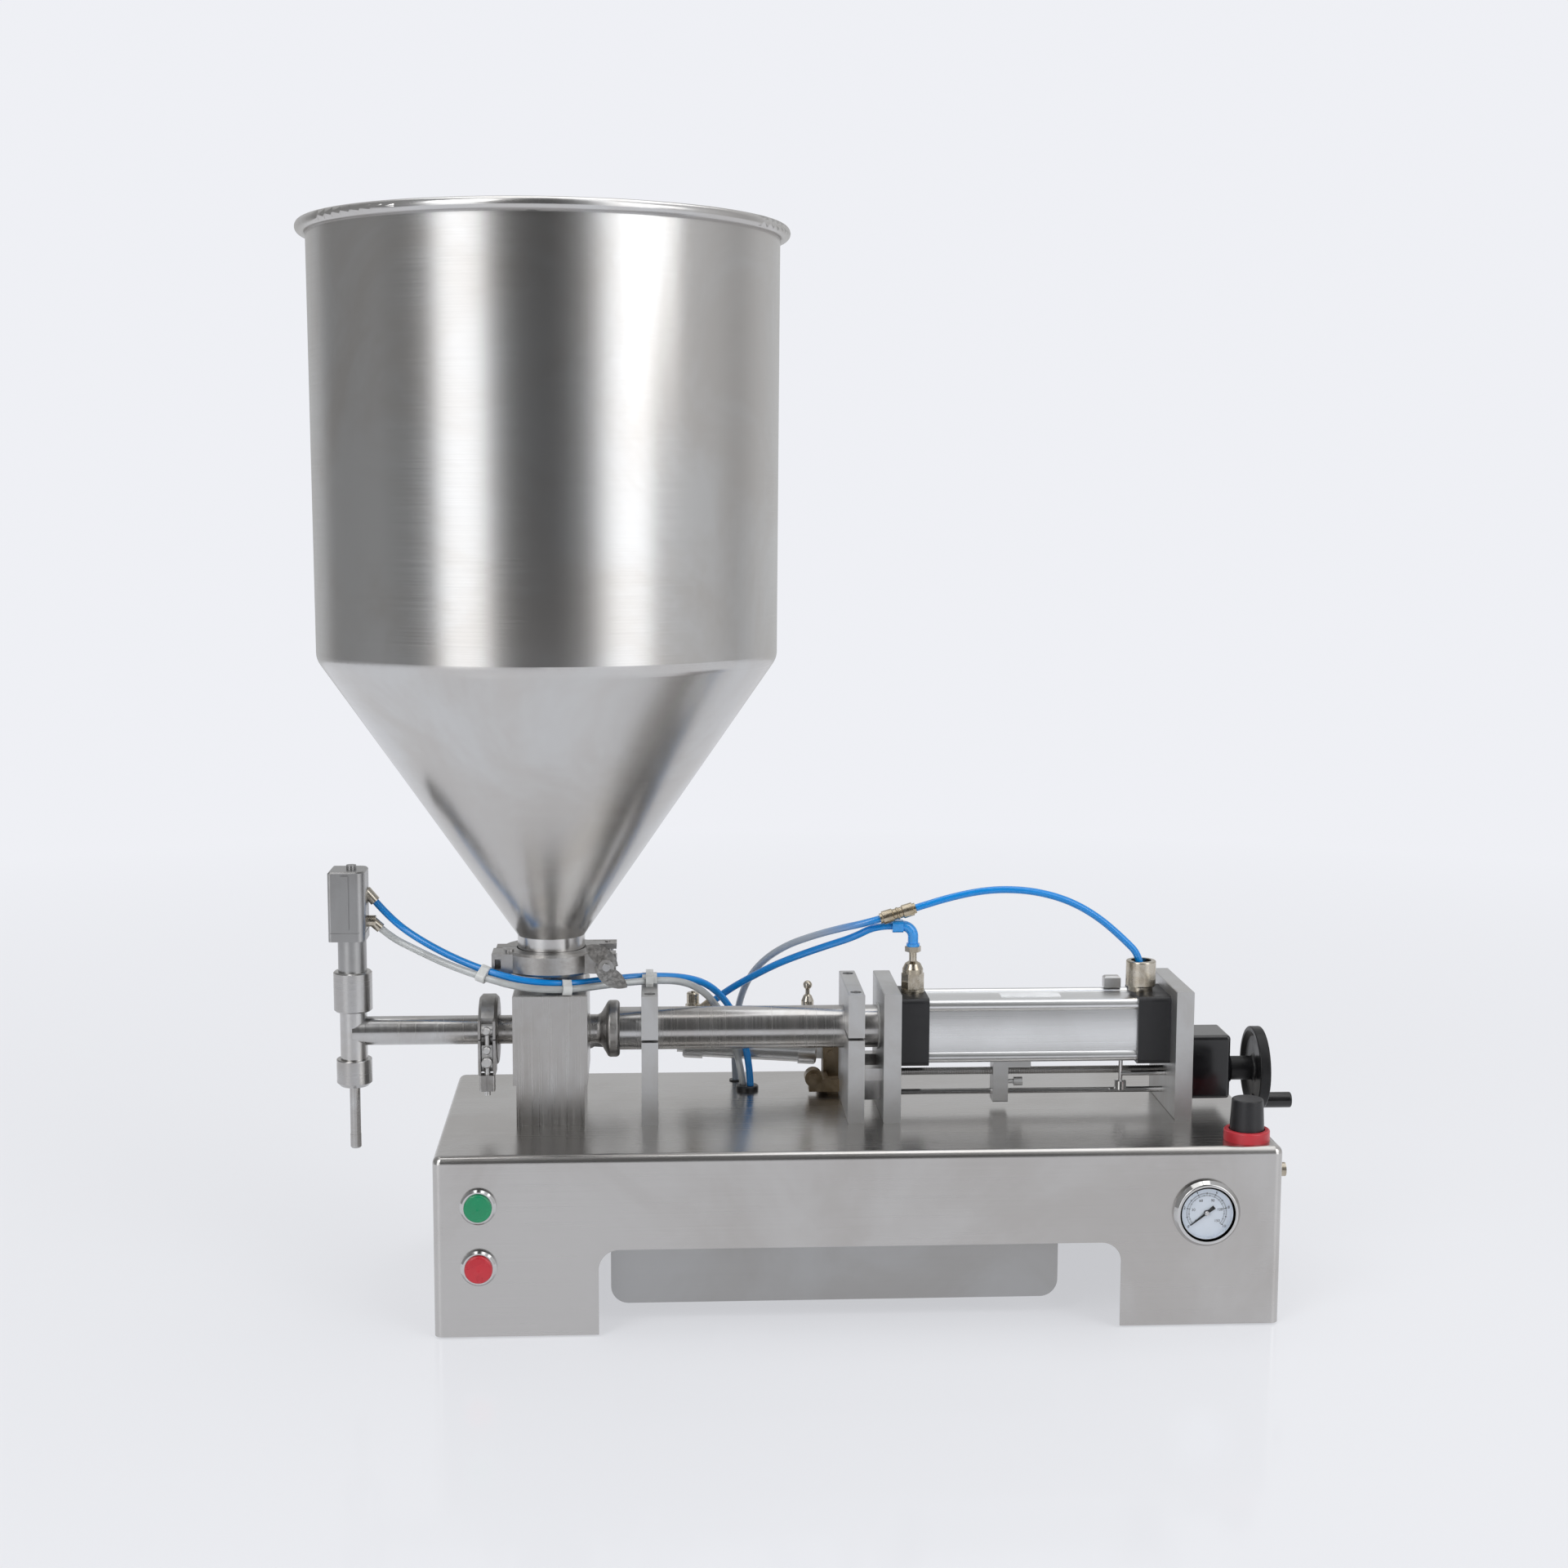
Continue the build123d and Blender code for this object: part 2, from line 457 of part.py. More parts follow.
with BuildPart() as union_nuts:
    # lower nut: screwed on the body tube, holds the nozzle tube by its collar
    turn(nozzle_up, (NECKED_R + SNUG, LOW_NUT_Z), (LOW_NUT_R - 3, LOW_NUT_Z), (LOW_NUT_R, LOW_NUT_Z + 3),
         (LOW_NUT_R, NUT_SEAT), (BODY_R + SNUG, NUT_SEAT), (BODY_R + SNUG, NUT_SEAT - 12),
         (NECKED_R + SNUG, NUT_SEAT - 12), rounds=(((LOW_NUT_R, NUT_SEAT), 1.0),))
    # upper nut: joins the body tube and the actuator's tube
    turn(nozzle_up, (BODY_R + SNUG, TOP_NUT_Z), (TOP_NUT_R - 1.2, TOP_NUT_Z), (TOP_NUT_R, TOP_NUT_Z + 1.2),
         (TOP_NUT_R, TOP_NUT_Z + TOP_NUT_H - 1.2), (TOP_NUT_R - 1.2, TOP_NUT_Z + TOP_NUT_H),
         (HEAD_TUBE_R + SNUG, TOP_NUT_Z + TOP_NUT_H), (HEAD_TUBE_R + SNUG, TOP_NUT_Z + 9),
         (BODY_R + SNUG, TOP_NUT_Z + 9))
save(union_nuts, "union_nuts")

with BuildPart() as nozzle_tip:
    # collar under the body tube, plain tube, conical seat inside the tip
    turn(nozzle_up, (NEEDLE_R - 1, TIP_Z), (NOZZLE_TUBE_R - 0.6, TIP_Z), (NOZZLE_TUBE_R + 0.18, TIP_Z + 1),
         (NOZZLE_TUBE_R + 0.18, TIP_RING_Z), (NOZZLE_TUBE_R, TIP_RING_Z), (NOZZLE_TUBE_R, LOW_NUT_Z - 1.4),
         (NECKED_R, LOW_NUT_Z - 0.6), (NECKED_R, NUT_SEAT - 12),
         (BODY_R, NUT_SEAT - 12), (BODY_R, NUT_SEAT - 8 - SNUG), (PORT_R, NUT_SEAT - 8 - SNUG),
         (NOZZLE_TUBE_R - 1, NUT_SEAT - 11), (NOZZLE_TUBE_R - 1, TIP_Z + 6), (NEEDLE_R - 1, TIP_Z + 2.5))
save(nozzle_tip, "nozzle_tip")

X_HEAD = X_NOZZLE + HEAD_SHIFT
HEAD_BORE = 11.0
HEAD_FLOOR = HEAD_Z + 12
with BuildPart() as actuator_housing:
    with BuildSketch(Plane.XY.offset(HEAD_Z)) as outline:
        with Locations((X_HEAD, 0)):
            Rectangle(HEAD_W, HEAD_D)
        fillet(outline.vertices().group_by(Axis.X)[-1], 7)
        fillet(outline.vertices().group_by(Axis.X)[0], 2.5)
    extrude(amount=HEAD_H)
    chamfer(actuator_housing.edges().group_by(Axis.Z)[-1], 1.2)
    # flange seam above the mounting flange
    with BuildSketch(Plane.XY.offset(HEAD_Z + 7)):
        with Locations((X_HEAD, 0)):
            Rectangle(HEAD_W + 2, HEAD_D + 2)
            Rectangle(HEAD_W - 1, HEAD_D - 1, mode=Mode.SUBTRACT)
    extrude(amount=0.8, mode=Mode.SUBTRACT)
    # ridge down the front
    block((X_HEAD - 4, -HEAD_D / 2 - 1.2, HEAD_Z + 10), (X_HEAD + 2, -HEAD_D / 2 + 1, HEAD_Z + HEAD_H - 3))
    # mounting tube and top plug
    rod(nozzle_up, HEAD_TUBE_R, TOP_NUT_Z + 9, HEAD_Z + 2)
    rod(up(X_HEAD + 2.5, 0, 0), 4, HEAD_Z + HEAD_H - 1, HEAD_Z + HEAD_H + 3.5)
    rod(nozzle_up, PORT_R, TOP_NUT_Z + 8, HEAD_Z - 12, mode=Mode.SUBTRACT)
    rod(nozzle_up, NEEDLE_R + RUN, HEAD_Z - 13, HEAD_FLOOR + 1, mode=Mode.SUBTRACT)
    rod(nozzle_up, HEAD_BORE + RUN, HEAD_FLOOR, HEAD_FLOOR + 12 + NEEDLE_LIFT + 8, mode=Mode.SUBTRACT)
save(actuator_housing, "actuator_housing")

with BuildPart() as nozzle_needle:
    turn(nozzle_up, (0, TIP_Z + 3.2), (NEEDLE_R - 1.4, TIP_Z + 3.4), (NEEDLE_R - 0.5, TIP_Z + 7),
         (NEEDLE_R - 0.5, NUT_SEAT - 6), (NEEDLE_R, NUT_SEAT - 4), (NEEDLE_R, HEAD_FLOOR + GAP),
         (HEAD_BORE, HEAD_FLOOR + GAP), (HEAD_BORE, HEAD_FLOOR + 8), (0, HEAD_FLOOR + 8))
save(nozzle_needle, "nozzle_needle")

# Hopper clamp: two jaws, swing bolt and wing nut

CLAMP_H, CLAMP_R = 18.0, 41.0
BOLT_R, WING_REACH = 3.0, 15.5
V_CLEAR = 0.3
BOLT_X = X_VALVE + 45.5
PIVOT_Y, LUG_FRONT = 24.0, -30.0
c_low, c_high = JOINT_Z - CLAMP_H / 2, JOINT_Z + CLAMP_H / 2
v_low, v_high = JOINT_Z - GASKET / 2 - FLANGE_T, JOINT_Z + GASKET / 2 + FLANGE_T
with BuildPart() as hopper_clamp:
    turn(up(X_VALVE, 0, 0),
         (NECK_R + 0.8, c_low), (CLAMP_R - 2, c_low), (CLAMP_R, c_low + 2), (CLAMP_R, c_high - 2),
         (CLAMP_R - 2, c_high), (NECK_R + 0.8, c_high), (NECK_R + 0.8, v_high + FLANGE_TAPER),
         (BIG_FLANGE_R + V_CLEAR, v_high), (BIG_FLANGE_R + V_CLEAR, v_low),
         (NECK_R + 0.8, v_low - FLANGE_TAPER))
    # hinge lugs on the left, the front one longer and with a window
    block((X_VALVE - 47, -28, c_low + 1), (X_VALVE - 30, 0, c_high - 1))
    block((X_VALVE - 45, 0, c_low + 1), (X_VALVE - 34, 17, c_high - 1))
    # bolt lugs on the right
    block((X_VALVE + 22, LUG_FRONT, c_low + 1), (BOLT_X + 7.5, LUG_FRONT + 16, c_high - 1))
    block((X_VALVE + 22, PIVOT_Y - 10, c_low + 1), (BOLT_X + 7.5, PIVOT_Y + 8, c_high - 1))
    rod(up(X_VALVE, 0, 0), NECK_R + 0.8, c_low - 1, c_high + 1, mode=Mode.SUBTRACT)
    turn(up(X_VALVE, 0, 0), (0, v_low - FLANGE_TAPER), (NECK_R + 0.8, v_low - FLANGE_TAPER),
         (BIG_FLANGE_R + V_CLEAR, v_low), (BIG_FLANGE_R + V_CLEAR, v_high),
         (NECK_R + 0.8, v_high + FLANGE_TAPER), (0, v_high + FLANGE_TAPER), mode=Mode.SUBTRACT)
    # window beside the hinge, slots for the swing bolt, parting of the jaws
    block((X_VALVE - 44.5, -30, c_low + 5), (X_VALVE - 39.5, -16, c_high - 5), mode=Mode.SUBTRACT)
    block((BOLT_X - BOLT_R - 0.6, LUG_FRONT - 1, JOINT_Z - BOLT_R - 0.6),
          (BOLT_X + 9, LUG_FRONT + 17, JOINT_Z + BOLT_R + 0.6), mode=Mode.SUBTRACT)
    block((BOLT_X - 5.5, PIVOT_Y - 11, JOINT_Z - BOLT_R - 0.6),
          (BOLT_X + 9, PIVOT_Y + 9, JOINT_Z + BOLT_R + 0.6), mode=Mode.SUBTRACT)
    block((X_VALVE - 50, -0.5, c_low - 1), (X_VALVE + 60, 0.5, c_high + 1), mode=Mode.SUBTRACT)
    # hinge pin on the left
    rod(up(X_VALVE - 33, -19, 0), 3.4, c_high - 1.5, c_high + 1.6)
    # pivot pin of the swing bolt
    rod(up(BOLT_X, PIVOT_Y, 0), 2.2, c_low + 0.5, c_high - 0.2)
save(hopper_clamp, "hopper_clamp")

BOLT_LEN = 70.0
with BuildPart() as hopper_bolt:
    rod(up(BOLT_X, PIVOT_Y, JOINT_Z), 5.0, -BOLT_R - 0.3, BOLT_R + 0.3)
    rod(front(BOLT_X, PIVOT_Y, JOINT_Z), BOLT_R, 0, BOLT_LEN)
    rod(up(BOLT_X, PIVOT_Y, JOINT_Z), 2.2 + RUN, -BOLT_R - 1, BOLT_R + 1, mode=Mode.SUBTRACT)
save(hopper_bolt, "hopper_bolt")


def wing(plane, out, side, tilt, reach, width, thick):
    """One leaf of a wing nut: a lens-shaped plate that leans away from the nut's face."""
    with BuildSketch() as lens:
        with BuildLine():
            ThreePointArc((-reach, 0), (0, width / 2), (reach, 0))
            ThreePointArc((reach, 0), (0, -width / 2), (-reach, 0))
        make_face()
    with BuildSketch(plane) as leaf_shape:
        with Locations(Location((out, side, 0), (0, 0, tilt))):
            add(lens.sketch)
    extrude(leaf_shape.sketch, amount=thick)


NUT_GAP = 0.8         # the nut's corner comes half a millimetre nearer to the lugs as its bolt swings out
NUT_FACE = LUG_FRONT - NUT_GAP
with BuildPart() as hopper_wing_nut:
    rod(front(BOLT_X, NUT_FACE, JOINT_Z), 6.2, 0, 13)
    for way in (1, -1):
        leaf = Plane(origin=(BOLT_X, NUT_FACE - 9.4, JOINT_Z), x_dir=(way, 0, 0), z_dir=(0, -1, 0))
        wing(leaf.rotated((-12, 0, 0)), 3.7, -8.6 * 1.0, -32, WING_REACH, 14.5, 3.2)
    rod(front(BOLT_X, NUT_FACE, JOINT_Z), BOLT_R + RUN, -1, 14, mode=Mode.SUBTRACT)
save(hopper_wing_nut, "hopper_wing_nut")

# Outlet clamp: the same kind, smaller, its swing bolt upright at the front

OUT_CLAMP_W, OUT_CLAMP_R = 15.3, 29.5
OUT_BOLT_R, OUT_BOLT_Y, OUT_PIVOT_Z = 2.4, -31.5, AXIS_Z + 7.2
OUT_LUG_LOW = AXIS_Z - 28.8
SMALL_PIN_R = 1.8
o_half = OUT_CLAMP_W / 2
w_half = GASKET / 2 + FLANGE_T
with BuildPart() as outlet_clamp:
    turn(right(X_OUT, 0, AXIS_Z),
         (PIPE_R + 0.8, -o_half), (OUT_CLAMP_R - 2.5, -o_half), (OUT_CLAMP_R, 2.5 - o_half),
         (OUT_CLAMP_R, o_half - 2.5), (OUT_CLAMP_R - 2.5, o_half), (PIPE_R + 0.8, o_half))
    # front lugs and rear hinge lug
    block((X_OUT - 7, OUT_BOLT_Y - 6, OUT_LUG_LOW), (X_OUT + 7, -18, OUT_PIVOT_Z + 8))
    block((X_OUT - 6, 22, AXIS_Z - 9), (X_OUT + 6, OUT_CLAMP_R + 7, AXIS_Z + 9))
    rod(right(X_OUT, 0, AXIS_Z), PIPE_R + 0.8, -o_half - 1, o_half + 1, mode=Mode.SUBTRACT)
    turn(right(X_OUT, 0, AXIS_Z), (0, -w_half - FLANGE_TAPER), (PIPE_R + 0.8, -w_half - FLANGE_TAPER),
         (SMALL_FLANGE_R + V_CLEAR, -w_half), (SMALL_FLANGE_R + V_CLEAR, w_half),
         (PIPE_R + 0.8, w_half + FLANGE_TAPER), (0, w_half + FLANGE_TAPER), mode=Mode.SUBTRACT)
    # slot for the bolt, open to the front, above and below, so the bolt's bosses swing clear
    block((X_OUT - 5.0, OUT_BOLT_Y - 7, OUT_LUG_LOW - 1), (X_OUT + 5.0, OUT_BOLT_Y + 5.6, OUT_PIVOT_Z + 9),
          mode=Mode.SUBTRACT)
    # parting of the jaws in the middle, between the bolt's pivot and the lower lug
    block((X_OUT - 10, -45, AXIS_Z - 0.5), (X_OUT + 10, 45, AXIS_Z + 0.5), mode=Mode.SUBTRACT)
    rod(right(X_OUT, OUT_BOLT_Y, OUT_PIVOT_Z), SMALL_PIN_R, -6.5, 6.5)
    rod(right(X_OUT, OUT_CLAMP_R + 2.5, AXIS_Z), 2.2, -7.5, 7.5)
save(outlet_clamp, "outlet_clamp")

BOSSES = ((0.0, 3.3), (-16.0, 3.3), (-26.0, 4.3))      # below the pivot, radius
with BuildPart() as outlet_bolt:
    rod(right(X_OUT, OUT_BOLT_Y, OUT_PIVOT_Z), 4.6, -4.6, 4.6)
    rod(up(X_OUT, OUT_BOLT_Y, OUT_PIVOT_Z), OUT_BOLT_R, -54, 0)
    block((X_OUT - 4.3, OUT_BOLT_Y - 2.2, OUT_PIVOT_Z - 30.5), (X_OUT + 4.3, OUT_BOLT_Y + 2.2, OUT_PIVOT_Z - 12.5))
    for drop, radius in BOSSES:
        turn(front(X_OUT, OUT_BOLT_Y, OUT_PIVOT_Z + drop), (0, 0), (radius, 0), (radius, 7), (radius - 1, 8), (0, 8))
    rod(right(X_OUT, OUT_BOLT_Y, OUT_PIVOT_Z), SMALL_PIN_R + RUN, -6, 6, mode=Mode.SUBTRACT)
save(outlet_bolt, "outlet_bolt")

with BuildPart() as outlet_wing_nut:
    nut_top = OUT_LUG_LOW - NUT_GAP
    block((X_OUT - 6.2, OUT_BOLT_Y - 5, nut_top - 13.2), (X_OUT + 6.2, OUT_BOLT_Y + 5, nut_top))
    fillet(outlet_wing_nut.edges().filter_by(Axis.Z), 1.5)
    # cast groove down the front and the back
    for y in (OUT_BOLT_Y - 5, OUT_BOLT_Y + 5):
        block((X_OUT - 0.5, y - 0.8, nut_top - 14), (X_OUT + 0.5, y + 0.8, nut_top + 1), mode=Mode.SUBTRACT)
    rod(up(X_OUT, OUT_BOLT_Y, 0), OUT_BOLT_R + RUN, nut_top - 20, nut_top + 1, mode=Mode.SUBTRACT)
save(outlet_wing_nut, "outlet_wing_nut")

# Metering tube with its union ring

with BuildPart() as inlet_ring:
    turn(right(X_RING, 0, AXIS_Z), (TUBE_R + SNUG, 0), (RING_R, 0), (RING_R, RING_L), (TUBE_R + SNUG, RING_L),
         rounds=(((RING_R, 0), 3.2), ((RING_R, RING_L), 3.2)))
save(inlet_ring, "inlet_ring")

with BuildPart() as material_tube:
    tube(right(X_RING, 0, AXIS_Z), TUBE_BORE_R, TUBE_R, 0, RING_L + TUBE_SHOW + TUBE_SEAT)
save(material_tube, "material_tube")

# Plates

with BuildPart() as split_plates:
    for x in (X_SUPPORT, X_PLATE_A):
        block((x, -PLATE_D / 2, BASE_TOP), (x + SPLIT_T, PLATE_D / 2, PLATE_TOP))
    chamfer(split_plates.edges().filter_by(Axis.Y), 0.6)
    for x in (X_SUPPORT, X_PLATE_A):
        rod(right(x, 0, AXIS_Z), TUBE_R + SNUG, -1, SPLIT_T + 1, mode=Mode.SUBTRACT)
        block((x - 1, -PLATE_D / 2 - 1, AXIS_Z - SPLIT_GAP / 2), (x + SPLIT_T + 1, PLATE_D / 2 + 1, AXIS_Z + SPLIT_GAP / 2),
              mode=Mode.SUBTRACT)
        # counterbored screw holes that pull cap and foot together
        with Locations(Plane(origin=(x + SPLIT_T / 2, 0, PLATE_TOP), z_dir=(0, 0, 1))):
            with GridLocations(1, PLATE_D - 22, 1, 2):
                CounterBoreHole(2.7, 4.6, 5.0, depth=AXIS_Z - BASE_TOP)
save(split_plates, "split_plates")

with BuildPart() as end_plates:
    for x in (X_PLATE_B, X_PLATE_C):
        block((x, -PLATE_D / 2, BASE_TOP), (x + PLATE_T, PLATE_D / 2, PLATE_TOP))
    chamfer(end_plates.edges().filter_by(Axis.Y), 0.6)
    # head plate: seat of the metering tube, hole of the piston rod, blind holes of screw and guide
    rod(right(X_PLATE_B, 0, AXIS_Z), TUBE_R + SNUG, -1, TUBE_SEAT, mode=Mode.SUBTRACT)
    rod(right(X_PLATE_B, 0, AXIS_Z), ROD_R + RUN, 0, PLATE_T + 1, mode=Mode.SUBTRACT)
    rod(right(X_CAP_F, 0, SCREW_Z), SCREW_R + RUN, -8, 1, mode=Mode.SUBTRACT)
    rod(right(X_CAP_F, 0, GUIDE_Z), GUIDE_R + SNUG, -8, 1, mode=Mode.SUBTRACT)
    # tail plate: the screw passes, the guide ends
    rod(right(X_PLATE_C, 0, SCREW_Z), SCREW_R + RUN, -1, PLATE_T + 1, mode=Mode.SUBTRACT)
    rod(right(X_PLATE_C, 0, GUIDE_Z), GUIDE_R + SNUG, -1, 8, mode=Mode.SUBTRACT)
save(end_plates, "end_plates")

with BuildPart() as plate_spacers:
    gap_l, gap_r = X_PLATE_A + SPLIT_T, X_PLATE_B
    block((gap_l, -30, 176), (gap_r, -18, 186))
    block((gap_l, -19, 157), (gap_r, 4, 175.4))
    block((gap_l, 20, 176), (gap_r, 32, 186))
save(plate_spacers, "plate_spacers")

# Air cylinder

with BuildPart() as cylinder_caps:
    for x, length, hole in ((X_CAP_F, CAP_F, ROD_R + RUN), (X_CAP_R, CAP_R, 0)):
        with BuildSketch(Plane.YZ.offset(x)):
            with Locations((0, AXIS_Z)):
                RectangleRounded(CAP_W, CAP_W, CAP_ROUND)
                with GridLocations(CAP_W - 13, CAP_W - 13, 2, 2):
                    Circle(2.6, mode=Mode.SUBTRACT)
        extrude(amount=length)
    rod(right(X_CAP_F, 0, AXIS_Z), ROD_R + RUN, -1, CAP_F + 1, mode=Mode.SUBTRACT)
    # air ports in the tops of both caps
    for x in (X_CAP_F + 14, X_CAP_R + 7):
        rod(up(x, 0, AXIS_Z + CAP_W / 2), 4.6, -12, 1, mode=Mode.SUBTRACT)
save(cylinder_caps, "cylinder_caps")

with BuildPart() as cylinder_barrel:
    with BuildSketch(Plane(origin=(X_BARREL, 0, AXIS_Z), x_dir=(0, 1, 0), z_dir=(1, 0, 0))):
        # four corner beads joined by slightly bulging faces
        with GridLocations(2 * BEAD_OFF, 2 * BEAD_OFF, 2, 2):
            Circle(PROFILE_BEAD_R)
        low, bulge = PROFILE_FLAT - 0.6, PROFILE_FLAT + 0.9
        with BuildLine():
            ThreePointArc((low, -BEAD_OFF), (bulge, 0), (low, BEAD_OFF))
            Polyline((low, BEAD_OFF), (BEAD_OFF, BEAD_OFF), (BEAD_OFF, low))
            ThreePointArc((BEAD_OFF, low), (0, bulge), (-BEAD_OFF, low))
            Polyline((-BEAD_OFF, low), (-BEAD_OFF, BEAD_OFF), (-low, BEAD_OFF))
            ThreePointArc((-low, BEAD_OFF), (-bulge, 0), (-low, -BEAD_OFF))
            Polyline((-low, -BEAD_OFF), (-BEAD_OFF, -BEAD_OFF), (-BEAD_OFF, -low))
            ThreePointArc((-BEAD_OFF, -low), (0, -bulge), (BEAD_OFF, -low))
            Polyline((BEAD_OFF, -low), (BEAD_OFF, -BEAD_OFF), (low, -BEAD_OFF))
        make_face()
        Circle(BORE_R, mode=Mode.SUBTRACT)
    extrude(amount=BARREL_L)
save(cylinder_barrel, "cylinder_barrel")

with BuildPart() as piston_rod:
    axis = right(0, 0, AXIS_Z)
    meter_x = X_RING + PISTON_START
    air_x = X_BARREL + 2
    turn(axis, (0, meter_x), (TUBE_BORE_R - RUN - 3, meter_x), (TUBE_BORE_R - RUN, meter_x + 3),
         (TUBE_BORE_R - RUN, meter_x + METER_PISTON_L), (ROD_R, meter_x + METER_PISTON_L), (ROD_R, air_x),
         (BORE_R - RUN, air_x), (BORE_R - RUN, air_x + PISTON_L), (0, air_x + PISTON_L))
save(piston_rod, "piston_rod")

# Stroke adjuster: leadscrew, sliding nut block, counter, handwheel

with BuildPart() as leadscrew:
    rod(right(0, 0, SCREW_Z), SCREW_R, X_CAP_F - 8 + GAP, X_HUB + HUB_L - 2)
save(leadscrew, "leadscrew")

with BuildPart() as guide_rods:
    rod(right(0, 0, GUIDE_Z), GUIDE_R, X_CAP_F - 8, X_PLATE_C + 8)
    # end stop: a stem under the barrel, braced to the tail plate
    stem_x = X_CAP_R - 11
    rod(up(stem_x, -13, 0), 1.7, GUIDE_Z + 6, AXIS_Z - PROFILE_FLAT - 0.8)
    rod(up(stem_x, -13, 0), 4.8, GUIDE_Z + 4, GUIDE_Z + 11)
    rod(right(0, -13, SCREW_Z), 2.2, stem_x, X_PLATE_C)
save(guide_rods, "guide_rods")

X_NUT = X_PLATE_B + NUT_SET
with BuildPart() as slide_block:
    block((X_NUT, -NUT_D / 2, NUT_LOW), (X_NUT + NUT_W, NUT_D / 2, AXIS_Z - BEAD_OFF - PROFILE_BEAD_R - 2.2))
    chamfer(slide_block.edges().filter_by(Axis.X), 1.0)
    # sensing piece just under the barrel, with its knurled lock screw
    block((X_NUT + NUT_W, -8, 180), (X_NUT + NUT_W + 19, 2, 185.6))
    rod(right(X_NUT + NUT_W, -6, 168), 1.8, -2, 5)
    rod(right(X_NUT + NUT_W, -6, 168), 3.6, 5, 12)
    rod(right(X_NUT, 0, SCREW_Z), SCREW_R + RUN, -1, NUT_W + 20, mode=Mode.SUBTRACT)
    rod(right(X_NUT, 0, GUIDE_Z), GUIDE_R + RUN, -1, NUT_W + 1, mode=Mode.SUBTRACT)
save(slide_block, "slide_block")

with BuildPart() as counter_box:
    with BuildSketch(Plane.YZ.offset(X_BOX)):
        with Locations((0, BOX_LOW + BOX_H / 2)):
            RectangleRounded(BOX_D, BOX_H, 3.5)
    extrude(amount=BOX_L)
    fillet(counter_box.faces().sort_by(Axis.X)[-1].edges(), 3.0)
    turn(right(X_BOX + BOX_L, 0, SCREW_Z), (0, -2), (COLLAR_R + 1.5, -2), (COLLAR_R + 1.5, 0),
         (COLLAR_R - 1, COLLAR_L), (0, COLLAR_L))
    rod(right(X_BOX, 0, SCREW_Z), SCREW_R + RUN, -1, BOX_L + COLLAR_L + 1, mode=Mode.SUBTRACT)
save(counter_box, "counter_box")

wheel_x = HUB_L
with BuildPart() as handwheel:
    turn(right(X_HUB, 0, SCREW_Z),
         (SCREW_R + SNUG, 0), (HUB_R, 0), (HUB_R, wheel_x + 3.0), (WHEEL_R - 8, wheel_x + 3.0),
         (WHEEL_R - 3.5, wheel_x), (WHEEL_R, wheel_x), (WHEEL_R, wheel_x + WHEEL_T),
         (WHEEL_R - 3, wheel_x + WHEEL_T), (WHEEL_R - 5, wheel_x + WHEEL_T - 1.0), (HUB_R + 2, wheel_x + WHEEL_T - 1.0),
         (HUB_R, wheel_x + WHEEL_T), (0, wheel_x + WHEEL_T), (0, HUB_L - 1.5), (SCREW_R + SNUG, HUB_L - 1.5),
         rounds=(((WHEEL_R, wheel_x), 1.2), ((WHEEL_R, wheel_x + WHEEL_T), 1.2), ((HUB_R, wheel_x + 3.0), 3.0)))
    # fixed pin the grip spins on
    rod(right(X_WHEEL, 0, SCREW_Z - GRIP_OFF), GRIP_PIN_R + 3, 2, WHEEL_T)
    rod(right(X_WHEEL, 0, SCREW_Z - GRIP_OFF), GRIP_PIN_R, 2, WHEEL_T + GRIP_L - 4)
save(handwheel, "handwheel")

with BuildPart() as crank_grip:
    turn(right(X_GRIP, 0, SCREW_Z - GRIP_OFF),
         (GRIP_PIN_R + RUN, 0), (GRIP_R - 0.8, 0), (GRIP_R, 2), (GRIP_R, GRIP_L), (0, GRIP_L),
         (0, GRIP_L - 3), (GRIP_PIN_R + RUN, GRIP_L - 3), rounds=(((GRIP_R, GRIP_L), 1.2),))
save(crank_grip, "crank_grip")

# Air fittings on the frame

X_PORT_F, X_PORT_R = X_CAP_F + 14, X_CAP_R + 7
port_z = AXIS_Z + CAP_W / 2
HEAD_FACE = X_HEAD + HEAD_W / 2
PORT_DIP, PORT_REACH = -42.0, 9.0            # nozzle actuator, lower port's turned-down end
HIGH_DIP, HIGH_REACH, HIGH_PORT_Y = -50.0, 12.0, 8.0


def leaning(x, z, angle, y=0.0):
    """A turning plane whose axis lies in the X-Z plane, angle degrees up from +X."""
    a = radians(angle)
    return Plane(origin=(x, y, z), x_dir=(-sin(a), 0, cos(a)), z_dir=(0, 1, 0))


